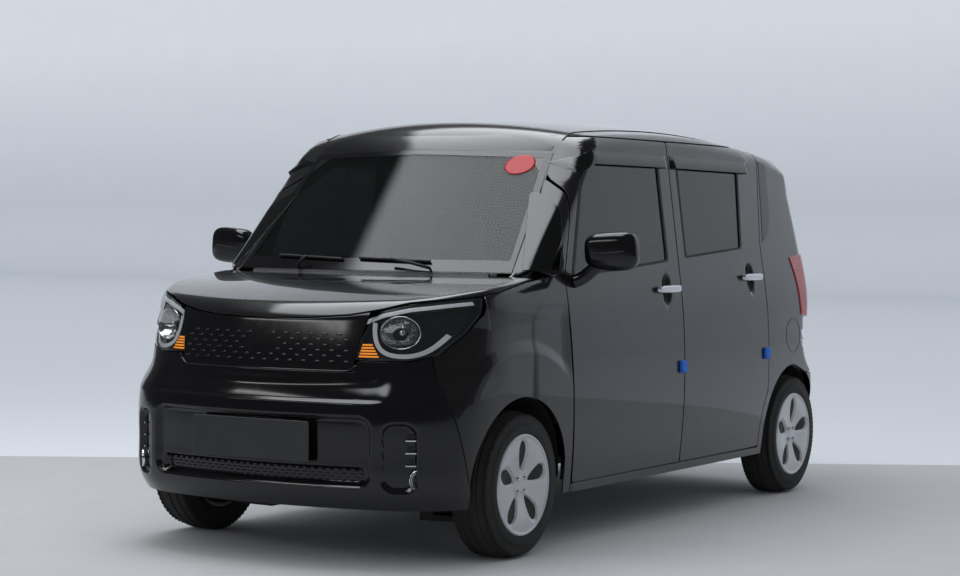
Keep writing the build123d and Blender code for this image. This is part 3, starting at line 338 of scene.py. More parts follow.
def lathe(profile, centre, count=64, axis=0, start=0.0, turn=2 * np.pi):
    """A profile of (along the axis, radius) turned round an axis through centre."""
    profile = np.asarray(profile, float)
    a = start + np.linspace(0, turn, count, endpoint=turn < 6.28)
    grid = np.zeros((count, len(profile), 3))
    ways = [(1, 2), (2, 0), (0, 1)][axis]
    grid[..., axis] = profile[:, 0]
    grid[..., ways[0]] = np.cos(a)[:, None] * profile[:, 1]
    grid[..., ways[1]] = np.sin(a)[:, None] * profile[:, 1]
    return outward(((grid + np.asarray(centre)).reshape(-1, 3), quads(count, len(profile), turn > 6.28, False)))


def pillow(centre, half, square=0.35, count=24, turn=None):
    """A closed rounded block: a ball whose sine and cosine are raised to a power, small for a squarer block."""
    u = np.linspace(-np.pi, np.pi, 2 * count, endpoint=False)
    v = np.linspace(-np.pi / 2, np.pi / 2, count)

    def strong(w):
        return np.sign(w) * np.abs(w) ** square

    cu, su, cv, sv = strong(np.cos(u)), strong(np.sin(u)), strong(np.cos(v)), strong(np.sin(v))
    grid = np.stack([cu[:, None] * cv, su[:, None] * cv, np.ones_like(cu)[:, None] * sv], -1) * np.asarray(half)
    if turn is not None:
        grid = grid @ np.asarray(turn).T
    return outward(((grid + np.asarray(centre)).reshape(-1, 3), quads(2 * count, count, True)))


def tube(path, radius, count=12, closed=False, flat=1.0, up=(0.0, 0.0, 1.0)):
    """A round or flattened rod along a path, with a small dome at each open end."""
    path = np.asarray(path, float)
    radius = np.broadcast_to(np.asarray(radius, float), len(path)).copy()
    if not closed:
        first, last = path[0] - unit(path[1] - path[0]) * radius[0] * 0.5, path[-1] + unit(path[-1] - path[-2]) * radius[-1] * 0.5
        path = np.vstack([first, first, path, last, last])
        path[1] = (path[0] + path[2]) / 2 + (path[0] - path[2]) * 0.3
        path[-2] = (path[-1] + path[-3]) / 2 + (path[-1] - path[-3]) * 0.3
        radius = np.concatenate([[radius[0] * 0.05, radius[0] * 0.65], radius, [radius[-1] * 0.65, radius[-1] * 0.05]])
    ahead = unit(np.roll(path, -1, 0) - np.roll(path, 1, 0)) if closed else unit(np.gradient(path, axis=0))
    sideways = unit(np.cross(ahead, np.asarray(up)))
    over = np.cross(sideways, ahead)
    a = np.linspace(0, 2 * np.pi, count, endpoint=False)
    grid = path[:, None] + radius[:, None, None] * (np.cos(a)[None, :, None] * sideways[:, None] + flat * np.sin(a)[None, :, None] * over[:, None])
    return outward((grid.reshape(-1, 3), quads(len(path), count, closed, True)))


# Pieces of the skin, on the left-hand side and across the middle, as closed plates

GAP = 0.0065
DOOR_FRONT = [(-0.748, 0.25), (-0.800, 0.984), (-0.800, 1.06)]
DOOR_RISE = [(-0.800, 1.06), (-0.655, 1.43), (-0.540, 1.603)]
ROOF_SEAM_X = 0.600
SCREEN_CORNERS = [(-0.648, 1.075), (0.648, 1.075), (0.572, 1.537), (-0.572, 1.537)]


def front_door_rings():
    outer = [
        [(-0.748, 0.25), (-0.800, 0.984)],
        [(-0.800, 0.984), (-0.800, 1.06)],
        [(-0.800, 1.06), (-0.655, 1.43)],
        [(-0.655, 1.43), (-0.540, 1.603)],
        [(-0.540, 1.603), (0.186, 1.603)],
        [(0.186, 1.603), (0.186, 0.25)],
        [(0.186, 0.25), (-0.748, 0.25)],
    ]
    inner = [
        [(-0.46, 1.066), (-0.70, 1.051)],
        [(-0.70, 1.051), (-0.752, 1.048)],
        [(-0.752, 1.048), (-0.612, 1.405)],
        [(-0.612, 1.405), (-0.497, 1.531)],
        [(-0.497, 1.531), (0.092, 1.531)],
        [(0.092, 1.531), (0.092, 1.101)],
        [(0.092, 1.101), (-0.46, 1.066)],
    ]
    counts = [36, 6, 20, 12, 36, 60, 44]
    return loop(outer, counts, 0.010), loop(inner, counts, 0.022)


def rear_door_rings():
    a = np.radians(np.linspace(184.2, 144.1, 9))
    arch = list(zip(REAR_AXLE + 0.380 * np.cos(a), HUB + 0.380 * np.sin(a)))
    arch[0], arch[-1] = (0.9985, 0.25), (1.070, 0.50)
    outer = [
        [(0.194, 0.25), (0.194, 1.603)],
        [(0.194, 1.603), (1.125, 1.603)],
        [(1.125, 1.603), (1.118, 1.55), (1.052, 1.165)],
        [(1.052, 1.165), (1.070, 0.88), (1.070, 0.50)],
        arch[::-1],
        [(0.9985, 0.25), (0.194, 0.25)],
    ]
    inner = [
        [(0.262, 1.114), (0.262, 1.531)],
        [(0.262, 1.531), (0.892, 1.520)],
        [(0.892, 1.520), (0.842, 1.150)],
        [(0.842, 1.150), (0.74, 1.144)],
        [(0.74, 1.144), (0.55, 1.132)],
        [(0.55, 1.132), (0.262, 1.114)],
    ]
    counts = [60, 44, 26, 32, 16, 40]
    return loop(outer, counts, 0.010), loop(inner, counts, 0.022)


def mapped(flat, project):
    return project(flat[:, 0], flat[:, 1])


def bonnet_front(x):
    return np.interp(np.abs(x), [0, 0.2, 0.36, 0.497, 0.589, 0.76], [0.903, 0.907, 0.919, 0.943, 0.965, 0.988])


def bonnet_edge(y):
    return np.interp(y, [-1.44, -1.375, -1.08, -0.80], [0.984, 0.989, 1.036, 1.070])


def bonnet_grid():
    x = np.linspace(-0.740, 0.740, 150)
    south = on_front(x, bonnet_front(x))
    back_x = np.linspace(-0.757, 0.757, 150)
    north = on_top(back_x, 1.2825 - np.sqrt(2.412**2 - back_x**2))
    y = np.linspace(south[-1, 1], north[-1, 1], 60)
    east = on_side(y, bonnet_edge(y))
    east[0], east[-1] = south[-1], north[-1]
    return coons(south, north, east * [-1, 1, 1], east)


def wing_grid():
    a = np.radians(np.linspace(0, 180, 70))
    arch = np.stack([FRONT_AXLE + 0.330 * np.cos(a), HUB + 0.330 * np.sin(a)], -1)
    flat = np.vstack([[(-0.7605, 0.215)], [(-0.8125, 0.215)], arch, [(-1.4530, 0.215)]])
    south = on_side(*along(flat, 150).T)[::-1]
    west = on_side(*along([(-1.4530, 0.215), (-1.470, 0.30), (-1.5115, 0.45), (-1.553, 0.60), (-1.5575, 0.775)], 60).T)
    west[0] = south[0]
    lamp = on_front(*along([(0.656, 0.776), (0.722, 0.852), (0.754, 0.918), (0.760, 0.977)], 40).T)
    y = np.linspace(-1.362, -0.8075, 90)
    edge = on_side(y, bonnet_edge(y) - GAP)
    north = np.vstack([[west[-1]], lamp, edge])
    east = on_side(*along([(-0.7605, 0.215), (-0.7625, 0.25), (-0.8075, 0.984), (-0.8075, bonnet_edge(-0.8075) - GAP)], 60).T)
    north = along(north, 150)
    north[-1] = east[-1]
    east[0] = south[-1]
    return coons(south, north, west, east)


def rgb(value):
    """A hex colour as linear RGB."""
    srgb = np.array([int(value[k : k + 2], 16) for k in (0, 2, 4)]) / 255
    return (*np.where(srgb <= 0.04045, srgb / 12.92, ((srgb + 0.055) / 1.055) ** 2.4), 1.0)


# Materials


class Wire:
    """One output of a node, so that a sum on it reads as a sum."""

    def __init__(self, finish, socket):
        self.finish, self.socket = finish, socket

    def sum(self, operation, *values):
        return self.finish.add("ShaderNodeMath", {"operation": operation}, values)

    def __add__(self, other):
        return self.sum("ADD", self, other)

    def __radd__(self, other):
        return self.sum("ADD", other, self)

    def __sub__(self, other):
        return self.sum("SUBTRACT", self, other)

    def __rsub__(self, other):
        return self.sum("SUBTRACT", other, self)

    def __mul__(self, other):
        return self.sum("MULTIPLY", self, other)

    def __rmul__(self, other):
        return self.sum("MULTIPLY", other, self)

    def __truediv__(self, other):
        return self.sum("DIVIDE", self, other)

    def __gt__(self, other):
        return self.sum("GREATER_THAN", self, other)

    def __lt__(self, other):
        return self.sum("LESS_THAN", self, other)


class Finish:
    """A material built from nodes, with one Principled shader."""

    def __init__(self, name, colour, rough, metal=0.0, **fixed):
        self.material = bpy.data.materials.new(name)
        self.material.use_nodes = True
        self.tree = self.material.node_tree
        self.shader = self.tree.nodes["Principled BSDF"]
        self.set("Base Color", rgb(colour) if isinstance(colour, str) else colour)
        self.set("Roughness", rough)
        self.set("Metallic", metal)
        for key, value in fixed.items():
            self.set(key.replace("_", " "), value)

    def add(self, kind, settings=None, values=(), output=0):
        """Any node: its settings first, then the values or wires of its sockets."""
        node = self.tree.nodes.new(kind)
        for key, value in (settings or {}).items():
            if key == "stops":
                while len(node.color_ramp.elements) < len(value):
                    node.color_ramp.elements.new(0.5)
                for element, (place, shade) in zip(node.color_ramp.elements, value):
                    element.position, element.color = place, (shade, shade, shade, 1)
            else:
                setattr(node, key, value)
        for key, value in values.items() if isinstance(values, dict) else enumerate(values):
            if isinstance(value, Wire):
                self.tree.links.new(value.socket, node.inputs[key])
            else:
                node.inputs[key].default_value = value
        return Wire(self, node.outputs[output])

    def set(self, name, value):
        if isinstance(value, Wire):
            self.tree.links.new(value.socket, self.shader.inputs[name])
        else:
            self.shader.inputs[name].default_value = value

    def place(self):
        return self.add("ShaderNodeTexCoord", output="Object")

    def noise(self, scale, detail=2.0, rough=0.5, at=None):
        return self.add("ShaderNodeTexNoise", None, {"Vector": at or self.place(), "Scale": scale, "Detail": detail, "Roughness": rough})

    def blend(self, mask, first, second):
        """First colour where the mask is 0, second where it is 1."""
        values = {0: mask, 6: first, 7: second}
        return self.add("ShaderNodeMix", {"data_type": "RGBA"}, values, 2)

    def bump(self, height, strength, distance=0.001):
        self.set("Normal", self.add("ShaderNodeBump", None, {"Strength": strength, "Distance": distance, "Height": height}))


class Sky(Finish):
    """The same for the world's background."""

    def __init__(self, world):
        world.use_nodes = True
        self.tree = world.node_tree
        self.shader = self.tree.nodes["Background"]


finishes = {}


def paint(settings):
    """Black paint under clear lacquer: a faint ripple of orange peel and a touch of dust in a roughness that varies in
    broad patches.
    """
    f = Finish("body_paint", "0A0A0C", 0.28, Coat_Weight=1.0, Coat_Roughness=0.02, Coat_IOR=1.45, Specular_IOR_Level=0.15)
    f.set("Base Color", tuple(settings.paint_colour) + (1.0,))
    f.bump(f.noise(900.0, 1.0), 0.02, 0.0003)
    f.set("Roughness", 0.24 + f.noise(6.0, 3.0) * 0.1)
    return f.material


def gloss_black(settings):
    f = Finish("gloss_black", "08080A", 0.12)
    f.set("Roughness", 0.08 + f.noise(30.0, 3.0) * 0.08)
    return f.material


def grained(settings):
    """Matt black moulded plastic: leather grain from cell borders."""
    f = Finish("grained_plastic", "131314", 0.62)
    cells = f.add("ShaderNodeTexVoronoi", {"feature": "DISTANCE_TO_EDGE"}, {"Vector": f.place(), "Scale": 700.0})
    f.bump(cells, 0.35, 0.0004)
    f.set("Roughness", 0.52 + f.noise(40.0, 3.0) * 0.2)
    return f.material


def dark_glass(settings):
    f = Finish("privacy_glass", "050606", 0.03, Coat_Weight=0.3, Coat_Roughness=0.01)
    f.set("Roughness", 0.015 + f.noise(4.0, 2.0) * 0.02)
    f.set("Alpha", 0.86)
    return f.material


def clear_glass(settings):
    f = Finish("screen_glass", "0B0E0E", 0.03)
    f.set("Roughness", 0.015 + f.noise(3.0, 2.0) * 0.02)
    f.set("Alpha", 0.42)
    return f.material


def silver(settings):
    f = Finish("wheel_silver", "A9ABAE", 0.33, 0.55, Coat_Weight=0.6, Coat_Roughness=0.1)
    f.set("Base Color", f.blend(f.noise(1400.0, 1.0), rgb("9B9DA1"), rgb("B9BBBE")))
    f.set("Roughness", 0.28 + f.noise(60.0, 3.0) * 0.12)
    return f.material


def rubber(settings):
    f = Finish("tyre_rubber", "121212", 0.72)
    f.set("Base Color", f.blend(f.noise(25.0, 4.0), rgb("0E0E0E"), rgb("1C1B1A")))
    f.set("Roughness", 0.66 + f.noise(120.0, 3.0) * 0.2)
    f.bump(f.noise(500.0, 2.0), 0.15, 0.0004)
    return f.material


def chrome(settings=None):
    f = Finish("bright_trim", "D5D7DA", 0.12, 1.0)
    f.set("Roughness", 0.09 + f.noise(50.0, 3.0) * 0.08)
    return f.material


def underside(settings):
    f = Finish("underbody_black", "151516", 0.6)
    f.set("Base Color", f.blend(f.noise(9.0, 5.0), rgb("101011"), rgb("222120")))
    f.set("Roughness", 0.5 + f.noise(14.0, 4.0) * 0.3)
    f.bump(f.noise(220.0, 3.0), 0.3, 0.0006)
    return f.material


def casting(settings):
    f = Finish("engine_metal", "8C8D8F", 0.5, 0.85)
    f.set("Base Color", f.blend(f.noise(12.0, 4.0), rgb("707173"), rgb("9C9DA0")))
    f.bump(f.noise(400.0, 3.0), 0.4, 0.0006)
    return f.material


def cloth(settings):
    """Dark grey woven cloth: two crossed waves make the weave."""
    f = Finish("seat_cloth", "1E1F21", 0.9, Sheen_Weight=0.25, Sheen_Roughness=0.5)
    warp = f.add("ShaderNodeTexWave", {"bands_direction": "X"}, {"Vector": f.place(), "Scale": 260.0, "Distortion": 0.4})
    weft = f.add("ShaderNodeTexWave", {"bands_direction": "Y"}, {"Vector": f.place(), "Scale": 260.0, "Distortion": 0.4})
    weave = warp * 0.5 + weft * 0.5
    f.set("Base Color", f.blend(weave, rgb("151618"), rgb("2B2D30")))
    f.bump(weave, 0.5, 0.0005)
    return f.material


def red_lens(settings):
    f = Finish("red_lens", "8E0A10", 0.1, Coat_Weight=0.6, Coat_Roughness=0.03)
    ribs = f.add("ShaderNodeTexWave", {"bands_direction": "Z"}, {"Vector": f.place(), "Scale": 32.0})
    f.set("Base Color", f.blend(ribs, rgb("6E050A"), rgb("A80E16")))
    return f.material


def clear_lens(settings):
    f = Finish("clear_lens", "2A2C2E", 0.03)
    f.set("Roughness", 0.02 + f.noise(8.0, 2.0) * 0.02)
    f.set("Alpha", 0.16)
    return f.material


def foam():
    """Blue foam of a door guard."""
    f = Finish("door_guard_foam", "1B5FBF", 0.8)
    f.set("Base Color", f.blend(f.noise(300.0, 2.0), rgb("1856B0"), rgb("2A6CCB")))
    f.bump(f.noise(600.0, 2.0), 0.3, 0.0004)
    return f.material


def mirror_glass():
    f = Finish("mirror_glass", "C9CDD2", 0.02, 1.0)
    f.set("Roughness", 0.012 + f.noise(5.0, 2.0) * 0.015)
    return f.material


def stud_metal():
    """Dark smoked chrome of the grille's studs."""
    f = Finish("stud_metal", "3A3B3E", 0.22, 0.9)
    f.set("Roughness", 0.18 + f.noise(90.0, 2.0) * 0.1)
    return f.material


def blank_plate():
    """A dark blank plate with a finely grained face."""
    f = Finish("blank_plate", "1E1F21", 0.5)
    f.set("Base Color", f.blend(f.noise(18.0, 4.0), rgb("191A1B"), rgb("252628")))
    f.bump(f.noise(900.0, 2.0), 0.15, 0.0003)
    return f.material


def lamp_housing():
    """Dark satin inside of a headlamp, ribbed like a moulded reflector."""
    f = Finish("lamp_housing", "1A1B1D", 0.3, 0.3)
    ribs = f.add("ShaderNodeTexWave", {"bands_direction": "Z"}, {"Vector": f.place(), "Scale": 40.0})
    f.set("Base Color", f.blend(ribs, rgb("141517"), rgb("26282B")))
    return f.material


def lamp_white():
    """Milky light guide: fine cross ribs in a pale body."""
    f = Finish("lamp_guide", "C4C8CC", 0.18, Coat_Weight=0.5, Coat_Roughness=0.05)
    ribs = f.add("ShaderNodeTexWave", {"bands_direction": "X"}, {"Vector": f.place(), "Scale": 90.0})
    f.set("Base Color", f.blend(ribs, rgb("AEB3B8"), rgb("DDE0E3")))
    return f.material


def lamp_amber():
    f = Finish("turn_lamp_lines", "F08A18", 0.25)
    f.set("Base Color", f.blend(f.noise(60.0, 2.0), rgb("E27A10"), rgb("FFA030")))
    f.set("Emission Color", rgb("FF9A2A"))
    f.set("Emission Strength", 0.6)
    return f.material


def reflector():
    """Bright reflector whose facets come from cells."""
    f = Finish("lamp_reflector", "DADCDF", 0.08, 1.0)
    cells = f.add("ShaderNodeTexVoronoi", {"feature": "F1"}, {"Vector": f.place(), "Scale": 70.0})
    f.bump(cells, 0.5, 0.002)
    return f.material


def label():
    """Plain round label on the inside of the glass."""
    f = Finish("screen_label", "8E0C15", 0.45)
    f.set("Base Color", f.blend(f.noise(40.0, 2.0), rgb("860B13"), rgb("98121B")))
    return f.material


def studio_floor():
    """Floor and backdrop in one sweep: grey below, then painted light on the backdrop, darker at its foot and paler up
    the wall, with the faintest mottle.
    """
    f = Finish("studio_floor", "9A9B9D", 0.9)
    along_x = f.add("ShaderNodeSeparateXYZ", None, (f.place(),), 0)
    along_y = f.add("ShaderNodeSeparateXYZ", None, (f.place(),), 1)
    rise = f.add("ShaderNodeMapRange", {"clamp": True}, (along_y * 0.855 - along_x * 0.519, 2.02, 2.05, 0.0, 1.0))
    grey = f.blend(f.noise(3.0, 3.0), rgb("A3A4A6"), rgb("ABACAE"))
    wall = f.blend(f.noise(1.5, 2.0), rgb("F1F3F6"), rgb("F6F7F9"))
    high = f.add("ShaderNodeSeparateXYZ", None, (f.place(),), 2)
    # Painted light and shade: the backdrop goes from a darker grey at the floor to its pale colour 5 m up.
    up = f.add("ShaderNodeMapRange", {"clamp": True}, (high, 0.0, 5.0, 0.0, 1.0))
    f.set("Base Color", f.blend(rise, grey, f.blend(up, rgb("C6CAD0"), wall)))
    return f.material


makers = {
    "body_paint": paint,
    "gloss_black": gloss_black,
    "black_plastic": grained,
    "privacy_glass": dark_glass,
    "windscreen_glass": clear_glass,
    "wheel_silver": silver,
    "tyre_rubber": rubber,
    "bright_trim": chrome,
    "underbody_black": underside,
    "engine_metal": casting,
    "seat_cloth": cloth,
    "red_lamp": red_lens,
    "clear_lamp": clear_lens,
}


def finish(slot):
    if slot not in finishes:
        finishes[slot] = makers[slot](bpy.context.scene.city_car_colours)
    return finishes[slot]


def piece(name, part, ride_on, slot, stands_for=(), material=None):
    """Puts (points, faces) into a new mesh object that rides on a body and takes its finish from a slot."""
    points, faces = part
    mesh = bpy.data.meshes.new(name)
    mesh.vertices.add(len(points))
    mesh.vertices.foreach_set("co", points.astype(np.float32).ravel())
    mesh.loops.add(faces.size)
    mesh.loops.foreach_set("vertex_index", faces.astype(np.int32).ravel())
    mesh.polygons.add(len(faces))
    mesh.polygons.foreach_set("loop_start", np.arange(0, faces.size, faces.shape[1], dtype=np.int32))
    mesh.update(calc_edges=True)
    mesh.validate()
    mesh.polygons.foreach_set("use_smooth", np.ones(len(mesh.polygons), bool))
    made = bpy.data.objects.new(name, mesh)
    bpy.context.scene.collection.objects.link(made)
    mesh.materials.append(material or finish(slot))
    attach(made, ride_on)
    if stands_for:
        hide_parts(*stands_for)
    return made


# Outlines on the body, in metres: (y, z) from the side, (x, z) from the front and the back

SEAM_X = 0.575
HANDLES = {"front": (0.055, 0.983), "rear": (0.907, 1.019)}
LAMP_AXIS = (0.540, 0.856)
POD = (0.585, 0.408)
FOG = (0.580, 0.330)


def on_head(x, z):
    """Forwards on to the windscreen or the roof's front, from inside the cabin."""
    return meet(stack(x, 0.0, z), stack(0.0, -1.0, 0.0))


def on_tail(turn, z):
    """Outwards from an upright line 0.6 m ahead of the tail, at an angle from straight back."""
    return meet(stack(0.0, 1.2, z), stack(np.sin(turn), np.cos(turn), 0.0))


def sunk(grid, depth):
    """The grid's points moved in along the surface's normals."""
    return grid - depth[..., None] * normals(grid)


def screen_head(x):
    return 1.541 + 0.016 * (1 - np.abs(x) / 0.575)


def roof_grid():
    """From the windscreen's head to the tailgate, between the two seams."""
    x = np.linspace(-SEAM_X, SEAM_X, 90)
    head = on_head(x, screen_head(x))
    rear = on_top(x, np.full(90, 1.4525))
    left = on_top(np.full(120, SEAM_X), np.linspace(head[-1, 1] + 0.01, 1.4525, 120))
    left[0], left[-1] = head[-1], rear[-1]
    return coons(head, rear, left * [-1, 1, 1], left)


def windscreen_grid(inset=0.0):
    """The windscreen's face, its outline moved in by inset."""
    x = np.linspace(-1, 1, 110)
    foot = on_head(x * (0.646 - inset), np.full(110, 1.062 + 1.6 * inset))
    head = on_head(x * (0.572 - inset), screen_head(x * 0.572) - 0.004 - 0.7 * inset)
    t = np.linspace(0, 1, 60)
    left = on_head(0.646 - 0.074 * t - inset, foot[-1, 2] + (head[-1, 2] - foot[-1, 2]) * t)
    left[0], left[-1] = foot[-1], head[-1]
    return coons(foot, head, left * [-1, 1, 1], left)


def side_frame_grid():
    """The body side in one piece: its outer edge follows windscreen, roof seam, tailgate, bumper, wheel arch and sill,
    its inner edge the two doors; straight steps from one to the other are pressed on to the surface."""
    t = np.linspace(0, 1, 60)
    screen = on_head(0.6495 - 0.0745 * t, 1.050 + (screen_head(0.575) - 1.050) * t)
    seam = on_top(np.full(120, SEAM_X), np.linspace(screen[-1, 1] + 0.02, 1.1325, 120))
    back_seam = on_top(np.full(30, SEAM_X), np.linspace(1.1325, 1.4525, 30))
    edge = on_back(np.full(90, 0.5965), np.linspace(back_seam[-1, 2] - 0.012, 0.566, 90))
    turn = np.linspace(np.arctan2(edge[-1, 0], edge[-1, 1] - 1.2), np.arctan2(0.785, 1.547 - 1.2), 34)
    bumper = on_tail(turn, np.linspace(0.566, 0.560, 34))
    a = np.radians(np.linspace(59, 180, 70))
    arch = on_side(REAR_AXLE + 0.330 * np.cos(a), HUB + 0.330 * np.sin(a))
    foot = on_side(np.full(8, 1.0475), np.linspace(0.270, 0.212, 8))
    sill = on_side(np.linspace(1.0475, -0.7545, 60), np.full(60, 0.212))
    b = np.radians(np.linspace(144, 184.4, 12))
    curve = np.stack([REAR_AXLE + 0.3735 * np.cos(b), HUB + 0.3735 * np.sin(b)], -1)
    curve[0] = 1.0765, 0.494
    doors = [
        ([(-0.8075, 1.047), (-0.8075, 1.0605), (-0.6620, 1.430), (-0.5475, 1.6045)], 60),
        ([(-0.5475, 1.6045), (-0.50, 1.6105), (1.04, 1.6105)], 120),
        ([(1.04, 1.6105), (1.1325, 1.6105), (1.1305, 1.590)], 30),
        ([(1.1305, 1.590), (1.1245, 1.55), (1.0585, 1.165), (1.0765, 0.90)], len(edge)),
        ([(1.0765, 0.90), (1.0765, 0.70)], 34),
        (np.vstack([[(1.0765, 0.70)], curve]), 70),
        ([curve[-1], (1.000, 0.242)], 8),
        ([(1.000, 0.242), (-0.7560, 0.242)], 60),
    ]
    outer = np.vstack([c[:-1] for c in (screen, seam, back_seam, edge, bumper, arch, foot)] + [sill])
    inner = [on_side(*along(points, count).T) for points, count in doors]
    inner = np.vstack([c[:-1] for c in inner[:-1]] + [inner[-1]])
    outer[len(screen) - 1] = screen[-1]
    steps = crowded(26, 0.2)[None, :, None]
    return press((1 - steps) * inner[:, None] + steps * outer[:, None])


def tailgate_rings():
    outer = [
        [(-0.5885, 0.5935), (-0.5885, 1.40)],
        [(-0.5885, 1.40), (-0.5885, 1.567)],
        [(-0.5885, 1.567), (0.5885, 1.567)],
        [(0.5885, 1.567), (0.5885, 1.40)],
        [(0.5885, 1.40), (0.5885, 0.5935)],
        [(0.5885, 0.5935), (-0.5885, 0.5935)],
    ]
    inner = [
        [(-0.508, 1.165), (-0.48, 1.43)],
        [(-0.48, 1.43), (-0.470, 1.500)],
        [(-0.470, 1.500), (0.470, 1.500)],
        [(0.470, 1.500), (0.48, 1.43)],
        [(0.48, 1.43), (0.508, 1.165)],
        [(0.508, 1.165), (-0.508, 1.165)],
    ]
    counts = [60, 14, 80, 14, 60, 80]
    flat, hole = loop(outer, counts, 0.008), loop(inner, counts, 0.035)
    whole = on_back(flat[:, 0], flat[:, 1])
    high = flat[:, 1] > 1.5665
    whole[high] = on_top(flat[high, 0], np.full(high.sum(), 1.4635))
    return whole, on_back(hole[:, 0], hole[:, 1])


def rear_bumper_grid():
    a = np.arctan2(0.79, 1.5445 - 1.2)
    turn = np.linspace(-a, a, 220)
    top = on_tail(turn, 0.554 + 0.012 * ease(np.abs(turn), 0.62, 0.44))
    b = np.arctan2(0.775, 1.703 - 1.2)
    low = on_tail(np.linspace(-b, b, 220), np.full(220, 0.225))
    c = np.radians(np.linspace(-9, 58, 40))
    arch = on_side(REAR_AXLE + 0.330 * np.cos(c), HUB + 0.330 * np.sin(c))
    arch[0], arch[-1] = low[-1], top[-1]
    grid = press(coons(low, top, arch * [-1, 1, 1], arch))
    x, z = grid[..., 0], grid[..., 2]
    inside = ease(np.abs(x), 0.50, 0.47) * ease(z, 0.45, 0.43) * ease(z, 0.27, 0.29)
    return sunk(grid, 0.014 * inside)


def lamp_grid(depth=0.0):
    """The headlamp's face; with depth, dished towards the middle."""
    south = on_front(*along([(0.383, 0.759), (0.473, 0.756), (0.572, 0.758), (0.651, 0.779), (0.717, 0.855)], 60).T)
    west = on_front(*along([(0.383, 0.759), (0.401, 0.824), (0.447, 0.906)], 30).T)
    north = on_front(*along([(0.447, 0.906), (0.497, 0.935), (0.589, 0.957), (0.754, 0.981)], 60).T)
    east = on_front(*along([(0.717, 0.855), (0.748, 0.921), (0.754, 0.981)], 30).T)
    grid = coons(south, north, west, east)
    u = np.linspace(0, 1, grid.shape[0])[:, None]
    v = np.linspace(0, 1, grid.shape[1])[None, :]
    near = np.minimum(np.minimum(u, 1 - u), np.minimum(v, 1 - v) * 0.6)
    return sunk(grid, 0.006 + depth * ease(near, 0.0, 0.06)) if depth else grid


def grille_grid():
    """The panel between the lamps, from the bonnet's front edge down to the bumper."""
    x = np.linspace(-0.375, 0.375, 120)
    south = on_front(x, np.full(120, 0.7185))
    x = np.linspace(-0.441, 0.441, 120)
    north = on_front(x, bonnet_front(x) - 0.0075)
    east = on_front(*along([(0.375, 0.7185), (0.378, 0.759), (0.396, 0.824), (0.441, float(north[-1, 2]))], 40).T)
    east[0], east[-1] = south[-1], north[-1]
    return coons(south, north, east * [-1, 1, 1], east)


def rounded_box(a, b, half_a, half_b, radius):
    """Distance outside a box with round corners."""
    da, db = np.abs(a) - half_a + radius, np.abs(b) - half_b + radius
    return np.hypot(np.maximum(da, 0), np.maximum(db, 0)) + np.minimum(np.maximum(da, db), 0) - radius


def bumper_relief(x, z):
    """How far the bumper's skin steps in: above its bow, round the plate, deep at the mouth and in the two pods."""
    a = np.abs(x)
    above = 0.011 * ease(z, 0.603, 0.616) * ease(z, 0.712, 0.66) * ease(a, 0.56, 0.45)
    tray = 0.018 * ease(rounded_box(x, z - 0.425, 0.490, 0.128, 0.05), 0.004, -0.012)
    mouth = 0.022 * ease(rounded_box(x, z - 0.338, 0.462, 0.034, 0.02), 0.002, -0.008)
    pods = 0.024 * ease(rounded_box(a - POD[0], z - POD[1], 0.056, 0.125, 0.045), 0.003, -0.010)
    return above + np.maximum(tray + mouth, pods)


def bumper_grid():
    """The bumper's skin from wheel arch to wheel arch, up to the grille panel and the lamps."""
    path = [(0.0, 0.7115), (0.383, 0.7115), (0.395, 0.750), (0.473, 0.7495), (0.572, 0.7515), (0.643, 0.772)]
    half = on_front(*along(path, 150).T)
    top = np.vstack([(half * [-1, 1, 1])[:0:-1], half])
    east = on_side(*along([(-1.4590, 0.215), (-1.476, 0.30), (-1.5175, 0.45), (-1.559, 0.60), (-1.5645, 0.772)], 100).T)
    east[-1] = top[-1]
    turn = np.arctan2(east[0, 0], -1.2 - east[0, 1])
    low = on_nose(np.linspace(-turn, turn, len(top)), np.full(len(top), 0.215))
    grid = coons(low, top, east * [-1, 1, 1], east)
    return sunk(grid, bumper_relief(grid[..., 0], grid[..., 2]))


def blister(grid):
    """The wing's step in outside a ring round the wheel, faded out towards its edges."""
    x, y, z = grid[..., 0], grid[..., 1], grid[..., 2]
    out = np.hypot(y + 1.135, z - HUB)
    fade = ease(y, -0.765, -0.86) * ease(z, 0.95, 0.86)
    return sunk(grid, 0.011 * np.clip((out - 0.497) / 0.045, 0, 1) * fade)


def band(path, width, depth, count=80, face=on_front, thickness=0.003):
    """A strip along a path in the face's two coordinates, sunk below the body's surface."""
    middle = along(path, count)
    way = unit(np.gradient(middle, axis=0))
    side = np.stack([-way[:, 1], way[:, 0]], -1) * width / 2
    rows = [face(*(middle + side * t).T) for t in (-1, -0.5, 0, 0.5, 1)]
    return outward(sheet_shell(np.stack(rows, 1), thickness, -depth, edge=0.0006))


def disc(face, centre, radii, lift, thickness=0.002, count=48, rows=8):
    """An oval patch on the body, from rings about its centre."""
    a = np.linspace(0, 2 * np.pi, count, endpoint=False)
    t = np.linspace(1, 0.02, rows)
    u = centre[0] + radii[0] * np.cos(a)[:, None] * t
    v = centre[1] + radii[1] * np.sin(a)[:, None] * t
    return outward(pane_shell(face(u, v), thickness, lift))


def pane_shell(grid, thickness, lift, dish=None):
    """A ring grid drawn together to a point in its middle, as a closed plate; dish gives each row its depth."""
    out = normals(grid)
    top = grid + out * lift
    if dish is not None:
        top = top - out * np.asarray(dish)[None, :, None]
    low = top - out * thickness
    top[:, -1], low[:, -1] = top[:, -1].mean(0), low[:, -1].mean(0)
    whole = np.concatenate([low[:, ::-1], top], 1)
    return whole.reshape(-1, 3), quads(*whole.shape[:2], True, False)


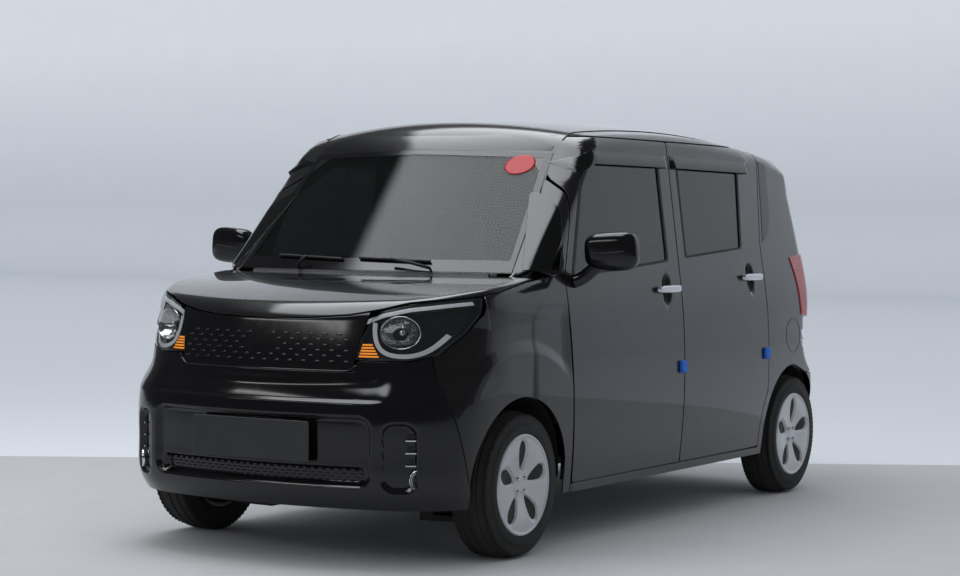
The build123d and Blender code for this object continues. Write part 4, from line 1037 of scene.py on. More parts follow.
def studs(places, half_length, half_height, proud, face=on_front):
    """Small rounded studs at many places on the body: three ovals of ten points each and a closed top and back."""
    places = np.asarray(places, float)
    at = face(*places.T)
    out = normals(at)
    across = unit(np.cross(stack(0.0, 0.0, 1.0), out) * np.where(out[:, :1] > 2, -1, 1))
    up = np.cross(out, across)
    a = np.linspace(0, 2 * np.pi, 10, endpoint=False)
    rings = [(0.0, 1.0), (0.6, 1.0), (1.0, 0.7)]
    points = []
    for height, scale in [(-0.3, 0.0), *[(h - 0.3 * (h == 0), s) for h, s in rings], (1.02, 0.0)]:
        u = np.sign(np.cos(a)) * np.abs(np.cos(a)) ** 0.6 * half_length * scale
        v = np.sin(a) * half_height * scale
        points.append(at[:, None] + u[:, None] * across[:, None] + v[:, None] * up[:, None] + out[:, None] * proud * height)
    whole = np.stack(points, 2)
    count = len(places)
    faces = np.concatenate([quads(10, 5, True, False, start=50 * k) for k in range(count)])
    return outward((whole.reshape(-1, 3), faces))


def shaped(part, centre, turn):
    """A part turned by a matrix and put at its centre."""
    return part[0] @ np.asarray(turn).T + np.asarray(centre), part[1]


def turned_about(axis, degrees):
    a = np.radians(degrees)
    i, j = [(1, 2), (2, 0), (0, 1)][axis]
    m = np.eye(3)
    m[i, i], m[i, j], m[j, i], m[j, j] = np.cos(a), -np.sin(a), np.sin(a), np.cos(a)
    return m


def cover_part():
    """A wheel cover: a shallow dome in polar rings, with five long hollows whose depth follows an oval's equation."""
    r = np.concatenate([np.linspace(0.003, 0.05, 9), np.linspace(0.053, 0.165, 50), np.linspace(0.168, 0.193, 12)])
    a = np.linspace(0, 2 * np.pi, 280, endpoint=False)
    rr, aa = np.meshgrid(r, a)
    step = np.mod(aa - np.pi / 2 + np.pi / 5, 2 * np.pi / 5) - np.pi / 5
    s, t = rr * np.cos(step), rr * np.sin(step)
    wide = 0.0275 * (0.62 + 0.50 * ease(s, 0.06, 0.15))
    oval = ((s - 0.112) / 0.055) ** 2 + (t / wide) ** 2
    bevel = ((s - 0.112) / 0.062) ** 2 + ((t + 0.003) / (wide + 0.007)) ** 2
    rise = 0.071 + 0.012 * ease(rr, 0.04, 0.15) + 0.002 * ease(rr, 0.034, 0.030)
    rise = rise - 0.004 * ease(bevel, 1.04, 0.90) - 0.020 * ease(oval, 1.04, 0.80)
    rise = rise + 0.003 * ease(rr, 0.178, 0.182) - 0.010 * ease(rr, 0.188, 0.194)
    top = np.stack([rise, rr * np.cos(aa), rr * np.sin(aa)], -1)
    top[:, 0] = top[:, 0].mean(0)
    low = np.stack([np.full_like(rr, 0.048), rr * np.cos(aa), rr * np.sin(aa)], -1)[:, ::-1]
    low[:, -1] = low[:, -1].mean(0)
    whole = np.concatenate([low, top[:, ::-1]], 1)[:, ::-1]
    return outward((whole.reshape(-1, 3), quads(*whole.shape[:2], True, False)))


def tyre_part():
    """A tyre: one closed section turned round its axle, with grooves round the tread and sipes in its shoulders."""
    side = [(0.0795, 0.190), (0.082, 0.196), (0.0825, 0.212), (0.0815, 0.228), (0.0805, 0.2285), (0.0795, 0.246), (0.0765, 0.258), (0.071, 0.2665)]
    tread = [(x, 0.2765 - 9 * max(x - 0.02, 0) ** 2 * 1.2) for x in np.linspace(0.066, -0.066, 67)]
    half = [(-x, r) for x, r in side[::-1]]
    inner = [(-0.072, 0.184), (-0.066, 0.180), (0.066, 0.180), (0.072, 0.184)]
    section = np.array(side + tread + half + inner)
    x, r = section.T
    on_tread = r > 0.262
    groove = sum(np.exp(-(((x - g) / 0.0032) ** 4) * 1.0) for g in (-0.036, 0.0, 0.036))
    section[:, 1] = r - 0.006 * np.where(on_tread, np.clip(groove, 0, 1), 0)
    count = 288
    a = np.linspace(0, 2 * np.pi, count, endpoint=False)
    sipe = (np.mod(np.arange(count), 4) == 0)[:, None] * ((np.abs(x) > 0.043) & (r > 0.250))[None, :]
    radius = section[:, 1] - 0.005 * sipe
    grid = np.stack([np.broadcast_to(x, radius.shape), radius * np.cos(a)[:, None], radius * np.sin(a)[:, None]], -1)
    return outward((grid.reshape(-1, 3), quads(count, len(section), True, True)))


def seat_block(half, crown, channels, square=0.22, rows=34, count=88):
    """A padded block: a squared ball, crowned by a cosine, with sewn channels let in along its length."""
    u = np.linspace(-np.pi, np.pi, count, endpoint=False)
    v = np.linspace(-np.pi / 2, np.pi / 2, rows)

    def strong(w, power):
        return np.sign(w) * np.abs(w) ** power

    cv, sv = strong(np.cos(v), 0.45), strong(np.sin(v), 0.6)
    x = strong(np.cos(u), square)[:, None] * cv
    y = strong(np.sin(u), square)[:, None] * cv
    z = np.ones_like(u)[:, None] * sv
    swell = 1 + crown * np.cos(np.clip(x, -1, 1) * 1.4) * np.cos(np.clip(y, -1, 1) * 1.4)
    dip = sum(np.exp(-(((x * half[0] - c) / 0.006) ** 2)) for c in channels)
    z = z * swell - np.where(z > 0.3, 1, 0) * dip * 0.012 / half[2]
    grid = np.stack([x, y, z], -1) * np.asarray(half)
    return outward((grid.reshape(-1, 3), quads(count, rows, True, False)))


# Operators: one for each group of pieces, and one for the stage


class CityCarColours(bpy.types.PropertyGroup):
    paint_colour: bpy.props.FloatVectorProperty(
        name="Paint", description="Colour of the body under its lacquer", subtype="COLOR", default=(0.0035, 0.0035, 0.004), min=0.0, max=1.0
    )


class CityCarSizes(bpy.types.PropertyGroup):
    panel_thickness: bpy.props.FloatProperty(name="Panel", description="Thickness of wings, bonnet and roof", unit="LENGTH", default=0.006)
    door_thickness: bpy.props.FloatProperty(name="Door", description="Thickness of a whole door", unit="LENGTH", default=0.056)


def both(name, part, body_name, slot, nodes=(), sided=True, material=None):
    """The left-hand piece and its mirror image, each on its own body."""
    made = []
    for side, turned in (("left", part), ("right", flipped(part))):
        on = f"{body_name}_{side}" if sided else body_name
        made.append(piece(f"{name}_{side}", turned, on, slot, [n.format(side) for n in nodes], material))
    return made


class CITYCAR_OT_skin(bpy.types.Operator):
    """Bonnet, wings, roof and body sides"""

    bl_idname = "citycar.skin"
    bl_label = "Body skin"

    def execute(self, context):
        thick = context.scene.city_car_sizes.panel_thickness
        piece("bonnet_skin", sheet_shell(bonnet_grid(), 0.012), "bonnet", "body_paint", ["bonnet"])
        both("wing_skin", sheet_shell(blister(wing_grid()), thick), "body", "body_paint", ["wing_{}"], False)
        piece("roof_skin", sheet_shell(roof_grid(), 0.012), "body", "body_paint", ["roof"])
        both("side_skin", outward(sheet_shell(side_frame_grid(), 0.03)), "body", "body_paint", ["body_side_{}"], False)
        seam = on_top(np.full(90, SEAM_X + 0.003), np.linspace(-0.50, 1.445, 90))
        both("roof_gutter", tube(seam - [0, 0, 0.001], 0.004, 8), "body", "black_plastic", (), False)
        a = np.linspace(0, 2 * np.pi, 61)
        flap = on_side(1.374 + 0.088 * np.cos(a), 0.741 + 0.078 * np.sin(a))
        piece("fuel_flap_gap", tube(flap[:-1], 0.0013, 6, closed=True), "body", "black_plastic")
        return {"FINISHED"}


def door_panel(end, outer, inner, thickness):
    """A door's shell, with an oval hollow for the hand behind its handle."""
    grid = ring(outer, inner, 26)
    y0, z0 = HANDLES[end]
    steps = np.unique(np.concatenate([crowded(26, 0.8), np.linspace(0.79, 0.94, 18)]).round(7))[None, :, None]
    grid = press((1 - steps) * outer[:, None] + steps * inner[:, None])
    q = np.hypot((grid[..., 1] - y0) / 0.034, (grid[..., 2] - z0) / 0.062)
    return outward(ring_shell(sunk(grid, 0.019 * ease(q, 1.0, 0.86)), thickness))


def handle_cup(y0, z0):
    a = np.linspace(0, 2 * np.pi, 56, endpoint=False)
    t = np.array([1.10, 1.07, 1.0, 0.93, 0.85, 0.7, 0.5, 0.3, 0.1, 0.02])
    grid = on_side(y0 + 0.033 * np.cos(a)[:, None] * t, z0 + 0.060 * np.sin(a)[:, None] * t)
    dish = [0.0018, -0.0004, -0.0006, 0.0012, 0.005, 0.010, 0.0125, 0.0135, 0.014, 0.014]
    return outward(pane_shell(grid, 0.0015, 0.001, dish))


def visor(points, drop, run=70):
    """A smoked strip under a window's head: its top lies on the frame, its foot stands off by a quarter sine."""
    top = on_side(*along(points, run).T)
    low = on_side(*(along(points, run) - [0.0, drop]).T)
    t = np.linspace(0, 1, 10)[None, :, None]
    grid = (1 - t) * top[:, None] + t * low[:, None]
    ends = ease(np.linspace(0, 1, run), 0.0, 0.03) * ease(np.linspace(0, 1, run), 1.0, 0.97)
    lift = 0.002 + 0.015 * np.sin(t * np.pi / 2) * ends[:, None, None]
    return outward(sheet_shell(grid + normals(grid) * lift, 0.0022, edge=0.0008))


class CITYCAR_OT_doors(bpy.types.Operator):
    """Doors with their glass, seals, visors and handles"""

    bl_idname = "citycar.doors"
    bl_label = "Doors"

    def execute(self, context):
        thick = context.scene.city_car_sizes.door_thickness
        visors = {"front": [(-0.60, 1.500), (-0.492, 1.545), (0.165, 1.545)], "rear": [(0.205, 1.545), (0.985, 1.540)]}
        for end, rings in (("front", front_door_rings()), ("rear", rear_door_rings())):
            outer, inner = (mapped(r, on_side) for r in rings)
            on = f"{end}_door"
            both(f"{end}_door_panel", door_panel(end, outer, inner, thick), on, "body_paint", [end + "_door_{}"])
            hole = rings[1]
            middle = hole.mean(0)

            def scaled(factor):
                return mapped(middle + (hole - middle) * factor, on_side)

            pane = ring(scaled(1.004), scaled(0.02), 14)
            both(f"{end}_door_pane", outward(pane_shell(pane, 0.004, -0.004)), on, "privacy_glass", [end + "_door_glass_{}"])
            seal = ring(scaled(1.012), scaled(0.962), 4)
            both(f"{end}_door_seal", outward(ring_shell(seal, 0.006, 0.0012, edge=0.0008)), on, "black_plastic")
            y, z = HANDLES[end]
            both(f"{end}_handle_cup", handle_cup(y, z), on, "black_plastic")
            at = on_side(np.array([y]), np.array([z]))[0]
            out = normals(at[None])[0]
            bar = pillow((0, 0, 0), (0.0105, 0.108, 0.0155), 0.45, 20)
            bend = bar[0].copy()
            bend[:, 0] -= 0.9 * bend[:, 1] ** 2
            feet = [tube(np.array([at + [-0.004, s * 0.088, 0], at + [0.016, s * 0.086, 0]]), 0.009, 12) for s in (-1, 1)]
            grip = joined((bend + at + out * 0.021, bar[1]), *feet)
            both(f"{end}_handle_bar", grip, on, "bright_trim", [end + "_handle_{}"])
            both(f"{end}_visor", visor(visors[end], 0.052), on, "privacy_glass")
        guard = pillow((0, 0, 0), (0.010, 0.021, 0.026), 0.3, 12)
        for end, y, z in (("front", 0.164, 0.655), ("rear", 1.040, 0.672)):
            at = on_side(np.array([y]), np.array([z]))[0]
            piece(f"{end}_door_guard_left", (guard[0] + at + [0.006, 0, 0], guard[1]), f"{end}_door_left", "black_plastic", (), foam())
        return {"FINISHED"}


class CITYCAR_OT_mirrors(bpy.types.Operator):
    """Door mirrors: housing, glass, turn repeater and stalk"""

    bl_idname = "citycar.mirrors"
    bl_label = "Door mirrors"

    def execute(self, context):
        tilt = turned_about(2, 8) @ turned_about(1, -4)
        shell = pillow((0, 0, 0), (0.108, 0.052, 0.076), 0.52, 30)
        p = shell[0].copy()
        p[:, 1] *= np.where(p[:, 1] > 0, 0.35, 1.0)
        p[:, 2] *= 1 - 0.25 * np.clip(-p[:, 0] / 0.108, 0, 1) * (p[:, 2] < 0)
        both("mirror_housing", shaped((p, shell[1]), (0.916, -0.700, 1.148), tilt), "front_door", "gloss_black", ["door_mirror_{}"])
        face = pillow((0, 0.0185, 0), (0.094, 0.0025, 0.062), 0.5, 26)
        both("mirror_glass", shaped(face, (0.916, -0.700, 1.148), tilt), "front_door", "bright_trim", (), True, mirror_glass())
        line = tube(np.array([[-0.06, -0.0525, -0.006], [0.0, -0.0535, -0.004], [0.06, -0.0500, -0.002], [0.100, -0.030, 0.0]]), 0.0028, 8)
        both("mirror_repeater", shaped(line, (0.916, -0.700, 1.148), tilt), "front_door", "black_plastic")
        path = through([0, 0.4, 1], [0.768, 0.800, 0.868]), through([0, 0.4, 1], [-0.742, -0.728, -0.704]), through([0, 0.4, 1], [1.030, 1.045, 1.108])
        t = np.linspace(0, 1, 18)
        stalk = tube(np.stack([f(t) for f in path], -1), 0.026, 18, flat=1.0)
        both("mirror_stalk", stalk, "front_door", "gloss_black")
        return {"FINISHED"}


class CITYCAR_OT_nose(bpy.types.Operator):
    """Nose: bumper, grille, front plate and fog lamps"""

    bl_idname = "citycar.nose"
    bl_label = "Nose"

    def execute(self, context):
        piece("bumper_skin", outward(sheet_shell(bumper_grid(), 0.006)), "body", "gloss_black", ["front_bumper"])
        piece("grille_panel", outward(sheet_shell(grille_grid(), 0.006)), "body", "gloss_black", ["grille"])
        rows = []
        for k in range(6):
            x = np.arange(-0.351 + 0.027 * (k % 2), 0.352, 0.054)
            z = np.full(len(x), 0.748 + 0.0195 * k)
            keep = (np.hypot(x / 0.085, (z - 0.808) / 0.040) > 1) & (np.abs(x) < 0.352)
            rows.append(np.stack([x, z], -1)[keep])
        piece("grille_studs", studs(np.vstack(rows), 0.0125, 0.0032, 0.0045), "body", "gloss_black", (), stud_metal())
        rows = [np.stack([np.arange(-0.455 + 0.014 * (k % 2), 0.456, 0.028), np.full(33, 0.317 + 0.0135 * k)[: len(np.arange(-0.455 + 0.014 * (k % 2), 0.456, 0.028))]], -1) for k in range(4)]
        piece("mouth_mesh", studs(np.vstack(rows), 0.0105, 0.0028, 0.004, face=mouth_face), "body", "black_plastic", (), stud_metal())
        x = np.linspace(-0.388, 0.388, 80)
        low = on_front(x, 0.7145 + 0.02 * ease(np.abs(x), 0.35, 0.388))
        piece("grille_lip", tube(low + normals(low) * 0.0005, 0.0032, 8), "body", "gloss_black")
        plate = outward(sheet_shell(plate_grid(-1.7985, -1), 0.004, edge=0.003))
        piece("front_plate", plate, "body", "black_plastic", (), blank_plate())
        for k, z in enumerate((0.472, 0.427, 0.382)):
            slot = band([(0.538, z), (0.630, z)], 0.004, 0.012, 20, thickness=0.008)
            both(f"pod_bar_{k}", slot, "body", "bright_trim", (), False)
            dark = band([(0.543, z + 0.014), (0.626, z + 0.014)], 0.019, 0.021, 20)
            both(f"pod_slot_{k}", dark, "body", "black_plastic", (), False)
        at = on_front(np.array([FOG[0]]), np.array([FOG[1]]))[0]
        out = normals(at[None])[0]
        swing = np.stack([np.cross([0, 0, 1.0], out), np.cross(out, np.cross([0, 0, 1.0], out)), out], -1)
        ring_part = lathe([(-0.026, 0.030), (-0.010, 0.034), (-0.006, 0.036), (-0.006, 0.038), (-0.026, 0.038), (-0.026, 0.030)], (0, 0, 0), 48, 2)
        both("fog_ring", shaped(ring_part, at, swing), "body", "bright_trim", (), False)
        bowl = lathe([(-0.0245, 0.0), (-0.0235, 0.012), (-0.019, 0.022), (-0.011, 0.030), (-0.012, 0.032), (-0.026, 0.030), (-0.0262, 0.0)], (0, 0, 0), 48, 2)
        both("fog_bowl", shaped(bowl, at, swing), "body", "bright_trim", (), False, chrome())
        dome = lathe([(-0.002, 0.0), (-0.0025, 0.012), (-0.005, 0.024), (-0.0095, 0.032), (-0.0115, 0.032), (-0.008, 0.024), (-0.005, 0.012), (-0.0045, 0.0)], (0, 0, 0), 48, 2)
        both("fog_lens", shaped(dome, at, swing), "body", "clear_lamp", (), False)
        return {"FINISHED"}


def mouth_face(x, z):
    """The floor of the bumper's mouth."""
    at = on_front(x, z)
    return at - normals(at) * bumper_relief(x, z)[..., None]


def plate_grid(y, way):
    """A flat blank plate with round corners, upright across the car at y; way below nought puts it at the front plate's
    height, else at the rear's.
    """
    a, b = np.meshgrid(np.linspace(-1, 1, 60), np.linspace(-1, 1, 24), indexing="ij")
    shrink = 1 - 0.012 * (np.abs(a) ** 12) * (np.abs(b) ** 12)
    z = 0.460 if way < 0 else 0.709
    grid = np.stack([a * 0.264 * shrink, np.full_like(a, y), z + b * 0.071 * shrink], -1)
    return grid


class CITYCAR_OT_headlamps(bpy.types.Operator):
    """Headlamps: dished housing, reflector, light bands, turn lines and lens"""

    bl_idname = "citycar.headlamps"
    bl_label = "Headlamps"

    def execute(self, context):
        lens = outward(sheet_shell(lamp_grid(), 0.003, edge=0.001))
        both("lamp_lens", lens, "body", "clear_lamp", ["headlamps"], False)
        both("lamp_housing", outward(sheet_shell(lamp_grid(0.045), 0.002)), "body", "black_plastic", (), False, lamp_housing())
        bar = band([(0.424, 0.893), (0.486, 0.919), (0.580, 0.942), (0.738, 0.964)], 0.014, 0.009)
        both("lamp_bar", bar, "body", "clear_lamp", (), False, lamp_white())
        hook = [(0.455, 0.892), (0.452, 0.862), (0.456, 0.824), (0.474, 0.792), (0.512, 0.775), (0.566, 0.773), (0.612, 0.786), (0.648, 0.812), (0.680, 0.848)]
        t = np.linspace(0, 1, 60)
        knots = np.linspace(0, 1, len(hook))
        smooth = np.stack([through(knots, c)(t) for c in np.array(hook).T], -1)
        both("lamp_band", band(smooth, 0.015, 0.012), "body", "clear_lamp", (), False, lamp_white())
        at = on_front(np.array([LAMP_AXIS[0]]), np.array([LAMP_AXIS[1]]))[0]
        out = unit(normals(at[None])[0] * [0.6, 1, 0.4])
        swing = np.stack([np.cross([0, 0, 1.0], out), np.cross(out, np.cross([0, 0, 1.0], out)), out], -1)
        bowl = lathe(
            [(-0.058, 0.0), (-0.0575, 0.010), (-0.052, 0.024), (-0.042, 0.040), (-0.028, 0.054), (-0.016, 0.061), (-0.012, 0.063), (-0.012, 0.066), (-0.030, 0.062), (-0.0595, 0.03), (-0.060, 0.0)],
            (0, 0, 0), 72, 2,
        )
        flat = bowl[0] * [1.18, 0.92, 1.0]
        both("lamp_reflector", shaped((flat, bowl[1]), at, swing), "body", "bright_trim", (), False, reflector())
        bulb = lathe([(-0.056, 0.012), (-0.050, 0.013), (-0.036, 0.0125), (-0.029, 0.009), (-0.0265, 0.0)], (0, 0, 0), 32, 2)
        both("lamp_bulb", shaped(bulb, at, swing), "body", "bright_trim", (), False, chrome())
        for k in range(5):
            z = 0.770 + 0.0105 * k
            turn_line = band([(0.392 + 0.0035 * k, z), (0.462 - 0.005 * k, z)], 0.0052, 0.010, 24, thickness=0.002)
            both(f"lamp_turn_line_{k}", turn_line, "body", "clear_lamp", (), False, lamp_amber())
        return {"FINISHED"}


class CITYCAR_OT_glass(bpy.types.Operator):
    """Windscreen, its black edge, wipers, corner and quarter glass"""

    bl_idname = "citycar.glass"
    bl_label = "Screens"

    def execute(self, context):
        piece("windscreen_pane", outward(sheet_shell(windscreen_grid(), 0.005)), "body", "windscreen_glass", ["windscreen"])
        edge, hole = windscreen_grid(0.002), windscreen_grid(0.030)

        def outline(grid):
            return np.vstack([grid[:-1, 0], grid[-1, :-1], grid[:0:-1, -1], grid[0, :0:-1]])

        frame_ring = ring(outline(edge), outline(hole), 5)
        piece("windscreen_frit", outward(ring_shell(frame_ring, 0.0006, 0.0008, edge=0.0003)), "body", "gloss_black")
        corner_glass = [[(-0.985, 1.076), (-0.846, 1.078)], [(-0.728, 1.372), (-0.712, 1.380)], [(-0.985, 1.076), (-0.728, 1.372)], [(-0.846, 1.078), (-0.712, 1.380)]]
        south, north, west, east = (on_side(*along(side, 24).T) for side in corner_glass)
        both("corner_pane", outward(sheet_shell(coons(south, north, west, east), 0.004, 0.0015)), "body", "privacy_glass", ["side_glasses"], False)
        quarter = [[(1.092, 1.178), (1.150, 1.205)], [(1.1375, 1.548), (1.214, 1.540)], [(1.092, 1.178), (1.1375, 1.548)], [(1.150, 1.205), (1.196, 1.270), (1.216, 1.38), (1.214, 1.540)]]
        south, north, west, east = (on_side(*along(side, 40).T) for side in quarter)
        both("quarter_pane", outward(sheet_shell(coons(south, north, west, east), 0.004, 0.0015)), "body", "privacy_glass", (), False)
        piece("screen_label", disc(on_head, (0.462, 1.488), (0.060, 0.040), 0.0012, 0.0006), "body", "red_lamp", (), label())
        for name, root, tip, blade in (("left", (0.32, 1.068), (-0.02, 1.093), (0.30, 1.085)), ("right", (-0.30, 1.068), (-0.44, 1.098), (-0.10, 1.088))):
            at = [on_head(np.array([a]), np.array([b]))[0] for a, b in (root, tip, blade)]
            out = normals(np.array(at))
            foot, end, start = (a + o * h for a, o, h in zip(at, out, (0.016, 0.020, 0.020)))
            middle = (end + start) / 2 + out[0] * 0.012
            piece(f"wiper_arm_{name}", tube(np.array([foot - out[0] * 0.02, foot, (foot + middle) / 2 + out[0] * 0.006, middle]), 0.0065, 12), "body", "black_plastic")
            x = np.linspace(end[0], start[0], 40)
            z = np.linspace(end[2], start[2], 40)
            rest = on_head(x, z)
            rest = rest + normals(rest) * 0.008
            piece(f"wiper_blade_{name}", tube(rest, 0.0055, 10), "body", "black_plastic")
        return {"FINISHED"}


class CITYCAR_OT_tail(bpy.types.Operator):
    """Tail: tailgate, glass, bumper, lamps and blank plate"""

    bl_idname = "citycar.tail"
    bl_label = "Tail"

    def execute(self, context):
        outer, inner = tailgate_rings()
        grid = ring(outer, inner, 40)
        x, z = grid[..., 0], grid[..., 2]
        tray = 0.016 * ease(rounded_box(x, z - 0.725, 0.34, 0.105, 0.04), 0.004, -0.014)
        piece("tailgate_panel", outward(ring_shell(sunk(grid, tray), 0.05)), "tailgate", "body_paint", ["tailgate"])
        middle = on_back(np.array([0.0]), np.array([1.33]))[0]
        pane = ring(middle + (inner - middle) * 1.004, middle + (inner - middle) * 0.02, 20)
        piece("tailgate_pane", outward(pane_shell(pane, 0.004, -0.003)), "tailgate", "privacy_glass", ["tailgate_glass"])
        piece("rear_bumper_skin", outward(sheet_shell(rear_bumper_grid(), 0.006)), "body", "body_paint", ["rear_bumper"])
        high, low = np.arctan2(0.735, 1.395 - 1.2), np.arctan2(0.600, 1.655 - 1.2)
        t = np.linspace(0, 1, 40)
        north = on_tail(high + (low - high) * t, 1.100 + 0.022 * np.sin(t * np.pi / 2))
        south = on_tail(high - 0.10 + (low + 0.02 - high + 0.10) * t, np.full(40, 0.818) + 0.02 * (1 - t) ** 2)
        west = on_tail(high - 0.10 * t - 0.03 * np.sin(t * np.pi), 1.100 + (0.838 - 1.100) * t)[::-1]
        east = on_tail(np.linspace(low + 0.02, low, 40), np.linspace(0.818, 1.122, 40))
        south[0], north[0], south[-1], north[-1] = west[0], west[-1], east[0], east[-1]
        both("tail_lamp_lens", outward(sheet_shell(coons(south, north, west, east), 0.012, 0.005, edge=0.004)), "body", "red_lamp", ["tail_lamps"], False)
        plate = plate_grid(1.7530, 1)[::-1]
        piece("rear_plate", outward(sheet_shell(plate, 0.004, edge=0.003)), "tailgate", "black_plastic", (), blank_plate())
        bar = on_back(np.linspace(-0.13, 0.13, 30), np.full(30, 0.815))
        piece("tailgate_grip", tube(bar + [0, -0.004, 0], 0.011, 14), "tailgate", "gloss_black")
        for side in (-1, 1):
            at = band([(side * 0.52, 0.36), (side * 0.64, 0.36)], 0.034, -0.001, 20, on_back)
            piece(f"rear_reflector_{'left' if side > 0 else 'right'}", at, "body", "red_lamp")
        return {"FINISHED"}


class CITYCAR_OT_wheels(bpy.types.Operator):
    """Wheels with slotted covers, nuts and tyres"""

    bl_idname = "citycar.wheels"
    bl_label = "Wheels"

    def execute(self, context):
        cover, tyre = cover_part(), tyre_part()
        r = np.linspace(0, 0.168, 15)
        # A black disc just under the cover's face that shows only in its slots: partly the dark wheel behind the cover,
        # partly painted shade inside the slots.
        dark = lathe([*zip(0.062 + 0.012 * ease(r, 0.04, 0.15), r), (0.0565, 0.17), (0.0545, 0.0)], (0, 0, 0), 64)
        rim = lathe([(0.050, 0.176), (0.050, 0.060), (0.044, 0.060), (0.040, 0.168), (-0.062, 0.166), (-0.070, 0.172), (-0.075, 0.186), (-0.070, 0.188), (-0.066, 0.179), (0.062, 0.179), (0.066, 0.188), (0.071, 0.187), (0.0705, 0.176)], (0, 0, 0), 72)
        drum = lathe([(0.049, 0.0), (0.049, 0.058), (0.040, 0.064), (0.020, 0.100), (-0.020, 0.104), (-0.032, 0.098), (-0.034, 0.030), (-0.034, 0.0)], (0, 0, 0), 48)
        a = np.pi / 4 + np.arange(4) * np.pi / 2
        nuts = joined(*[lathe([(0.066, 0.0085), (0.0765, 0.0080), (0.0790, 0.0060), (0.0798, 0.0)], (0, 0.034 * np.cos(t), 0.034 * np.sin(t)), 12) for t in a])
        for end, y in (("front", FRONT_AXLE), ("rear", REAR_AXLE)):
            for side, way in (("left", 1), ("right", -1)):
                name, centre = f"{end}_{side}", np.array([way * WHEEL_X, y, HUB])
                on = f"wheel_{name}"

                def put(part):
                    moved = part if way > 0 else flipped(part)
                    return moved[0] + centre, moved[1]

                piece(f"tyre_skin_{name}", put(tyre), on, "tyre_rubber", [f"tyre_{name}"])
                piece(f"wheel_cover_{name}", put(cover), on, "wheel_silver", [f"wheel_{name}"])
                piece(f"wheel_rim_{name}", put(joined(rim, drum)), on, "engine_metal")
                # The slots' black floor: the dark wheel behind, and painted shade inside the slots.
                piece(f"wheel_backing_and_slot_shade_{name}", put(dark), on, "black_plastic")
                piece(f"wheel_nuts_{name}", put(nuts), on, "bright_trim", (), chrome())
        return {"FINISHED"}


class CITYCAR_OT_cabin(bpy.types.Operator):
    """Seats and headrests"""

    bl_idname = "citycar.cabin"
    bl_label = "Cabin"

    def execute(self, context):
        lean = turned_about(0, -13)
        for side, x in (("left", 0.345), ("right", -0.345)):
            seat = shaped(seat_block((0.245, 0.255, 0.070), 0.12, (-0.13, 0.13)), (x, -0.200, 0.500), np.eye(3))
            up = lean @ turned_about(0, 90)
            back = shaped(seat_block((0.230, 0.320, 0.055), 0.12, (-0.13, 0.13)), (x, 0.115, 0.790), up)
            rest = shaped(seat_block((0.120, 0.085, 0.045), 0.10, ()), (x, 0.205, 1.205), up)
            base = pillow((x, -0.215, 0.370), (0.19, 0.19, 0.062), 0.3, 20)
            made = [piece(f"front_seat_{kind}_{side}", part, "body", "seat_cloth", ["front_seats"] if side == "left" and kind == "cushion" else ()) for kind, part in (("cushion", seat), ("back", back), ("rest", rest))]
            piece(f"front_seat_base_{side}", base, "body", "black_plastic")
        bench = shaped(seat_block((0.570, 0.245, 0.064), 0.08, (-0.19, 0.19)), (0, 0.870, 0.505), np.eye(3))
        up = turned_about(0, -11) @ turned_about(0, 90)
        back = shaped(seat_block((0.570, 0.295, 0.055), 0.08, (-0.19, 0.19)), (0, 1.170, 0.735), up)
        made = [piece("rear_bench", bench, "body", "seat_cloth", ["rear_seat"]), piece("rear_bench_back", back, "body", "seat_cloth")]
        for side, x in (("left", 0.33), ("right", -0.33)):
            made.append(piece(f"rear_headrest_{side}", shaped(seat_block((0.115, 0.070, 0.040), 0.10, ()), (x, 1.258, 1.095), up), "body", "seat_cloth"))
        return {"FINISHED"}


class CITYCAR_OT_running_gear(bpy.types.Operator):
    """Finishes of what stays as it was packed: floor, axles, engine, dashboard"""

    bl_idname = "citycar.running_gear"
    bl_label = "Carried-over nodes"

    def execute(self, context):
        slots = {s["node"]: s["material_slot"] for s in frame["record"]["subparts"]}
        for name, node in frame["nodes"].items():
            node.data.materials.clear()
            node.data.materials.append(finish(slots[name]))
        return {"FINISHED"}


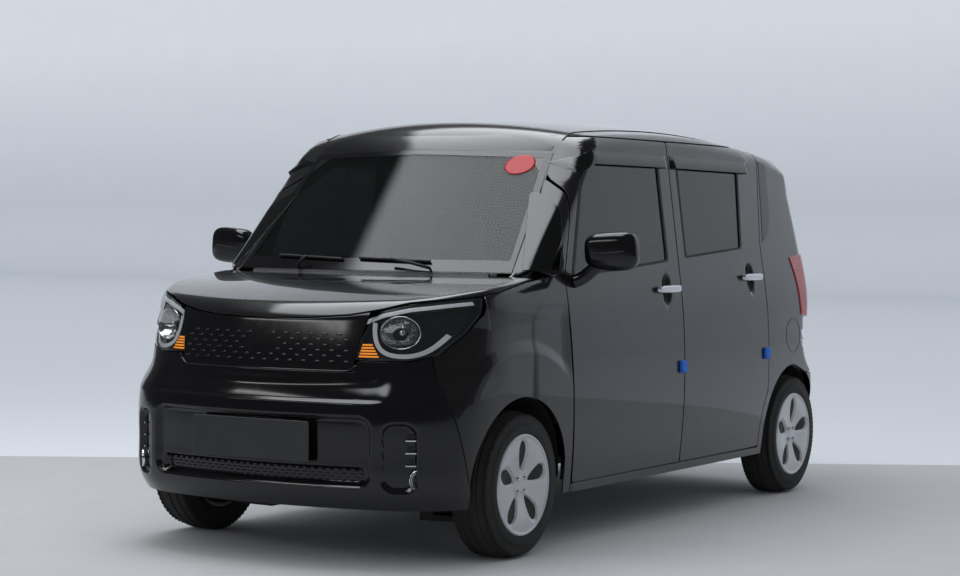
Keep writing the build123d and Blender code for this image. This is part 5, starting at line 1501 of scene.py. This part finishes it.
class CITYCAR_OT_stage(bpy.types.Operator):
    """Floor, backdrop, lights and camera"""

    bl_idname = "citycar.stage"
    bl_label = "Stage"

    def execute(self, context):
        scene = context.scene
        camera = bpy.data.cameras.new("view")
        camera.lens, camera.sensor_width, camera.clip_end = 83.83, 36.0, 200.0
        eye = bpy.data.objects.new("view", camera)
        scene.collection.objects.link(eye)
        yaw, pitch, roll = np.radians([31.265, 1.715, 0.553])
        ahead = np.array([-np.sin(yaw) * np.cos(pitch), np.cos(yaw) * np.cos(pitch), -np.sin(pitch)])
        right = np.array([np.cos(yaw), np.sin(yaw), 0.0])
        up = np.cross(right, ahead)
        right, up = np.cos(roll) * right + np.sin(roll) * up, -np.sin(roll) * right + np.cos(roll) * up
        eye.matrix_world = placed(right, up, -ahead, (4.9638, -8.3524, 1.2618))
        scene.camera = eye
        t = np.linspace(0, np.pi / 2, 40)
        run = np.concatenate([[[-60.0, 0.0]], np.stack([28.4 + 1.6 * np.sin(t), 1.6 * (1 - np.cos(t))], -1), [[30.0, 25.0]]])
        grid = np.zeros((3, len(run), 3))
        grid[..., 0], grid[..., 1:] = np.array([-60.0, 0.0, 60.0])[:, None], run
        mesh = bpy.data.meshes.new("floor")
        mesh.from_pydata(grid.reshape(-1, 3).tolist(), [], quads(3, len(run)).tolist())
        mesh.polygons.foreach_set("use_smooth", np.ones(len(mesh.polygons), bool))
        mesh.materials.append(studio_floor())
        floor = bpy.data.objects.new("floor", mesh)
        scene.collection.objects.link(floor)
        world = bpy.data.worlds.new("studio")
        scene.world = world
        sky = Sky(world)
        way = sky.add("ShaderNodeTexCoord", output="Generated")
        high = sky.add("ShaderNodeSeparateXYZ", None, (way,), 2)
        left = sky.add("ShaderNodeSeparateXYZ", None, (way,), 0)
        smooth = {"interpolation_type": "SMOOTHSTEP"}
        glow = sky.add("ShaderNodeMapRange", smooth, (high, 0.70, 0.80, 0.0, 1.0))
        glow = glow * sky.add("ShaderNodeMapRange", smooth, (left, -0.60, -0.56, 0.0, 1.0))
        glow = glow * (1 - sky.add("ShaderNodeMapRange", smooth, (left, -0.20, 0.0, 0.0, 1.0)))
        mirrored = sky.add("ShaderNodeLightPath", output="Is Glossy Ray")
        sky.set("Color", (0.93, 0.96, 1.0, 1.0))
        sky.set("Strength", 0.98 + mirrored * (glow * 5.0 - 0.90))
        for name, place, look, size, power in (
            ("ceiling", (-0.9, -1.0, 5.2), (-0.9, -0.99, 0.0), (3.2, 2.6), 150.0),
            ("front", (-3.0, -7.5, 3.6), (0.0, -0.5, 0.6), (5.0, 0.5), 40.0),
        ):
            lamp = bpy.data.lights.new(name, "AREA")
            lamp.shape, lamp.size, lamp.size_y, lamp.energy = "RECTANGLE", size[0], size[1], power
            held = bpy.data.objects.new(name, lamp)
            scene.collection.objects.link(held)
            back = unit(np.array(place) - np.array(look))
            across = unit(np.cross((0.0, 1.0, 0.0), back)) if name == "ceiling" else unit(np.cross((0.0, 0.0, 1.0), back))
            held.matrix_world = placed(across, np.cross(back, across), back, place)
            held.visible_glossy = name != "ceiling"
        scene.view_settings.view_transform = "Standard"
        return {"FINISHED"}


def placed(right, up, back, place):
    turned = np.eye(4)
    turned[:3, 0], turned[:3, 1], turned[:3, 2], turned[:3, 3] = right, up, back, place
    return Matrix(turned.tolist())


class CITYCAR_PT_panel(bpy.types.Panel):
    """Lists the steps and sizes of the city car"""

    bl_idname = "CITYCAR_PT_panel"
    bl_label = "City Car"
    bl_space_type = "VIEW_3D"
    bl_region_type = "UI"
    bl_category = "City Car"

    def draw(self, context):
        for step in STEPS:
            self.layout.operator(step.bl_idname)
        self.layout.prop(context.scene.city_car_colours, "paint_colour")
        self.layout.prop(context.scene.city_car_sizes, "panel_thickness")
        self.layout.prop(context.scene.city_car_sizes, "door_thickness")


STEPS = (
    CITYCAR_OT_running_gear,
    CITYCAR_OT_skin,
    CITYCAR_OT_doors,
    CITYCAR_OT_mirrors,
    CITYCAR_OT_nose,
    CITYCAR_OT_headlamps,
    CITYCAR_OT_glass,
    CITYCAR_OT_tail,
    CITYCAR_OT_wheels,
    CITYCAR_OT_cabin,
    CITYCAR_OT_stage,
)


def register():
    for kind in (CityCarColours, CityCarSizes, *STEPS, CITYCAR_PT_panel):
        bpy.utils.register_class(kind)
    bpy.types.Scene.city_car_colours = bpy.props.PointerProperty(type=CityCarColours)
    bpy.types.Scene.city_car_sizes = bpy.props.PointerProperty(type=CityCarSizes)


def unregister():
    del bpy.types.Scene.city_car_colours, bpy.types.Scene.city_car_sizes
    for kind in (CITYCAR_PT_panel, *STEPS[::-1], CityCarSizes, CityCarColours):
        bpy.utils.unregister_class(kind)


def main():
    register()
    for step in STEPS:
        area, name = step.bl_idname.split(".")
        getattr(getattr(bpy.ops, area), name)()


if __name__ == "__main__":
    main()
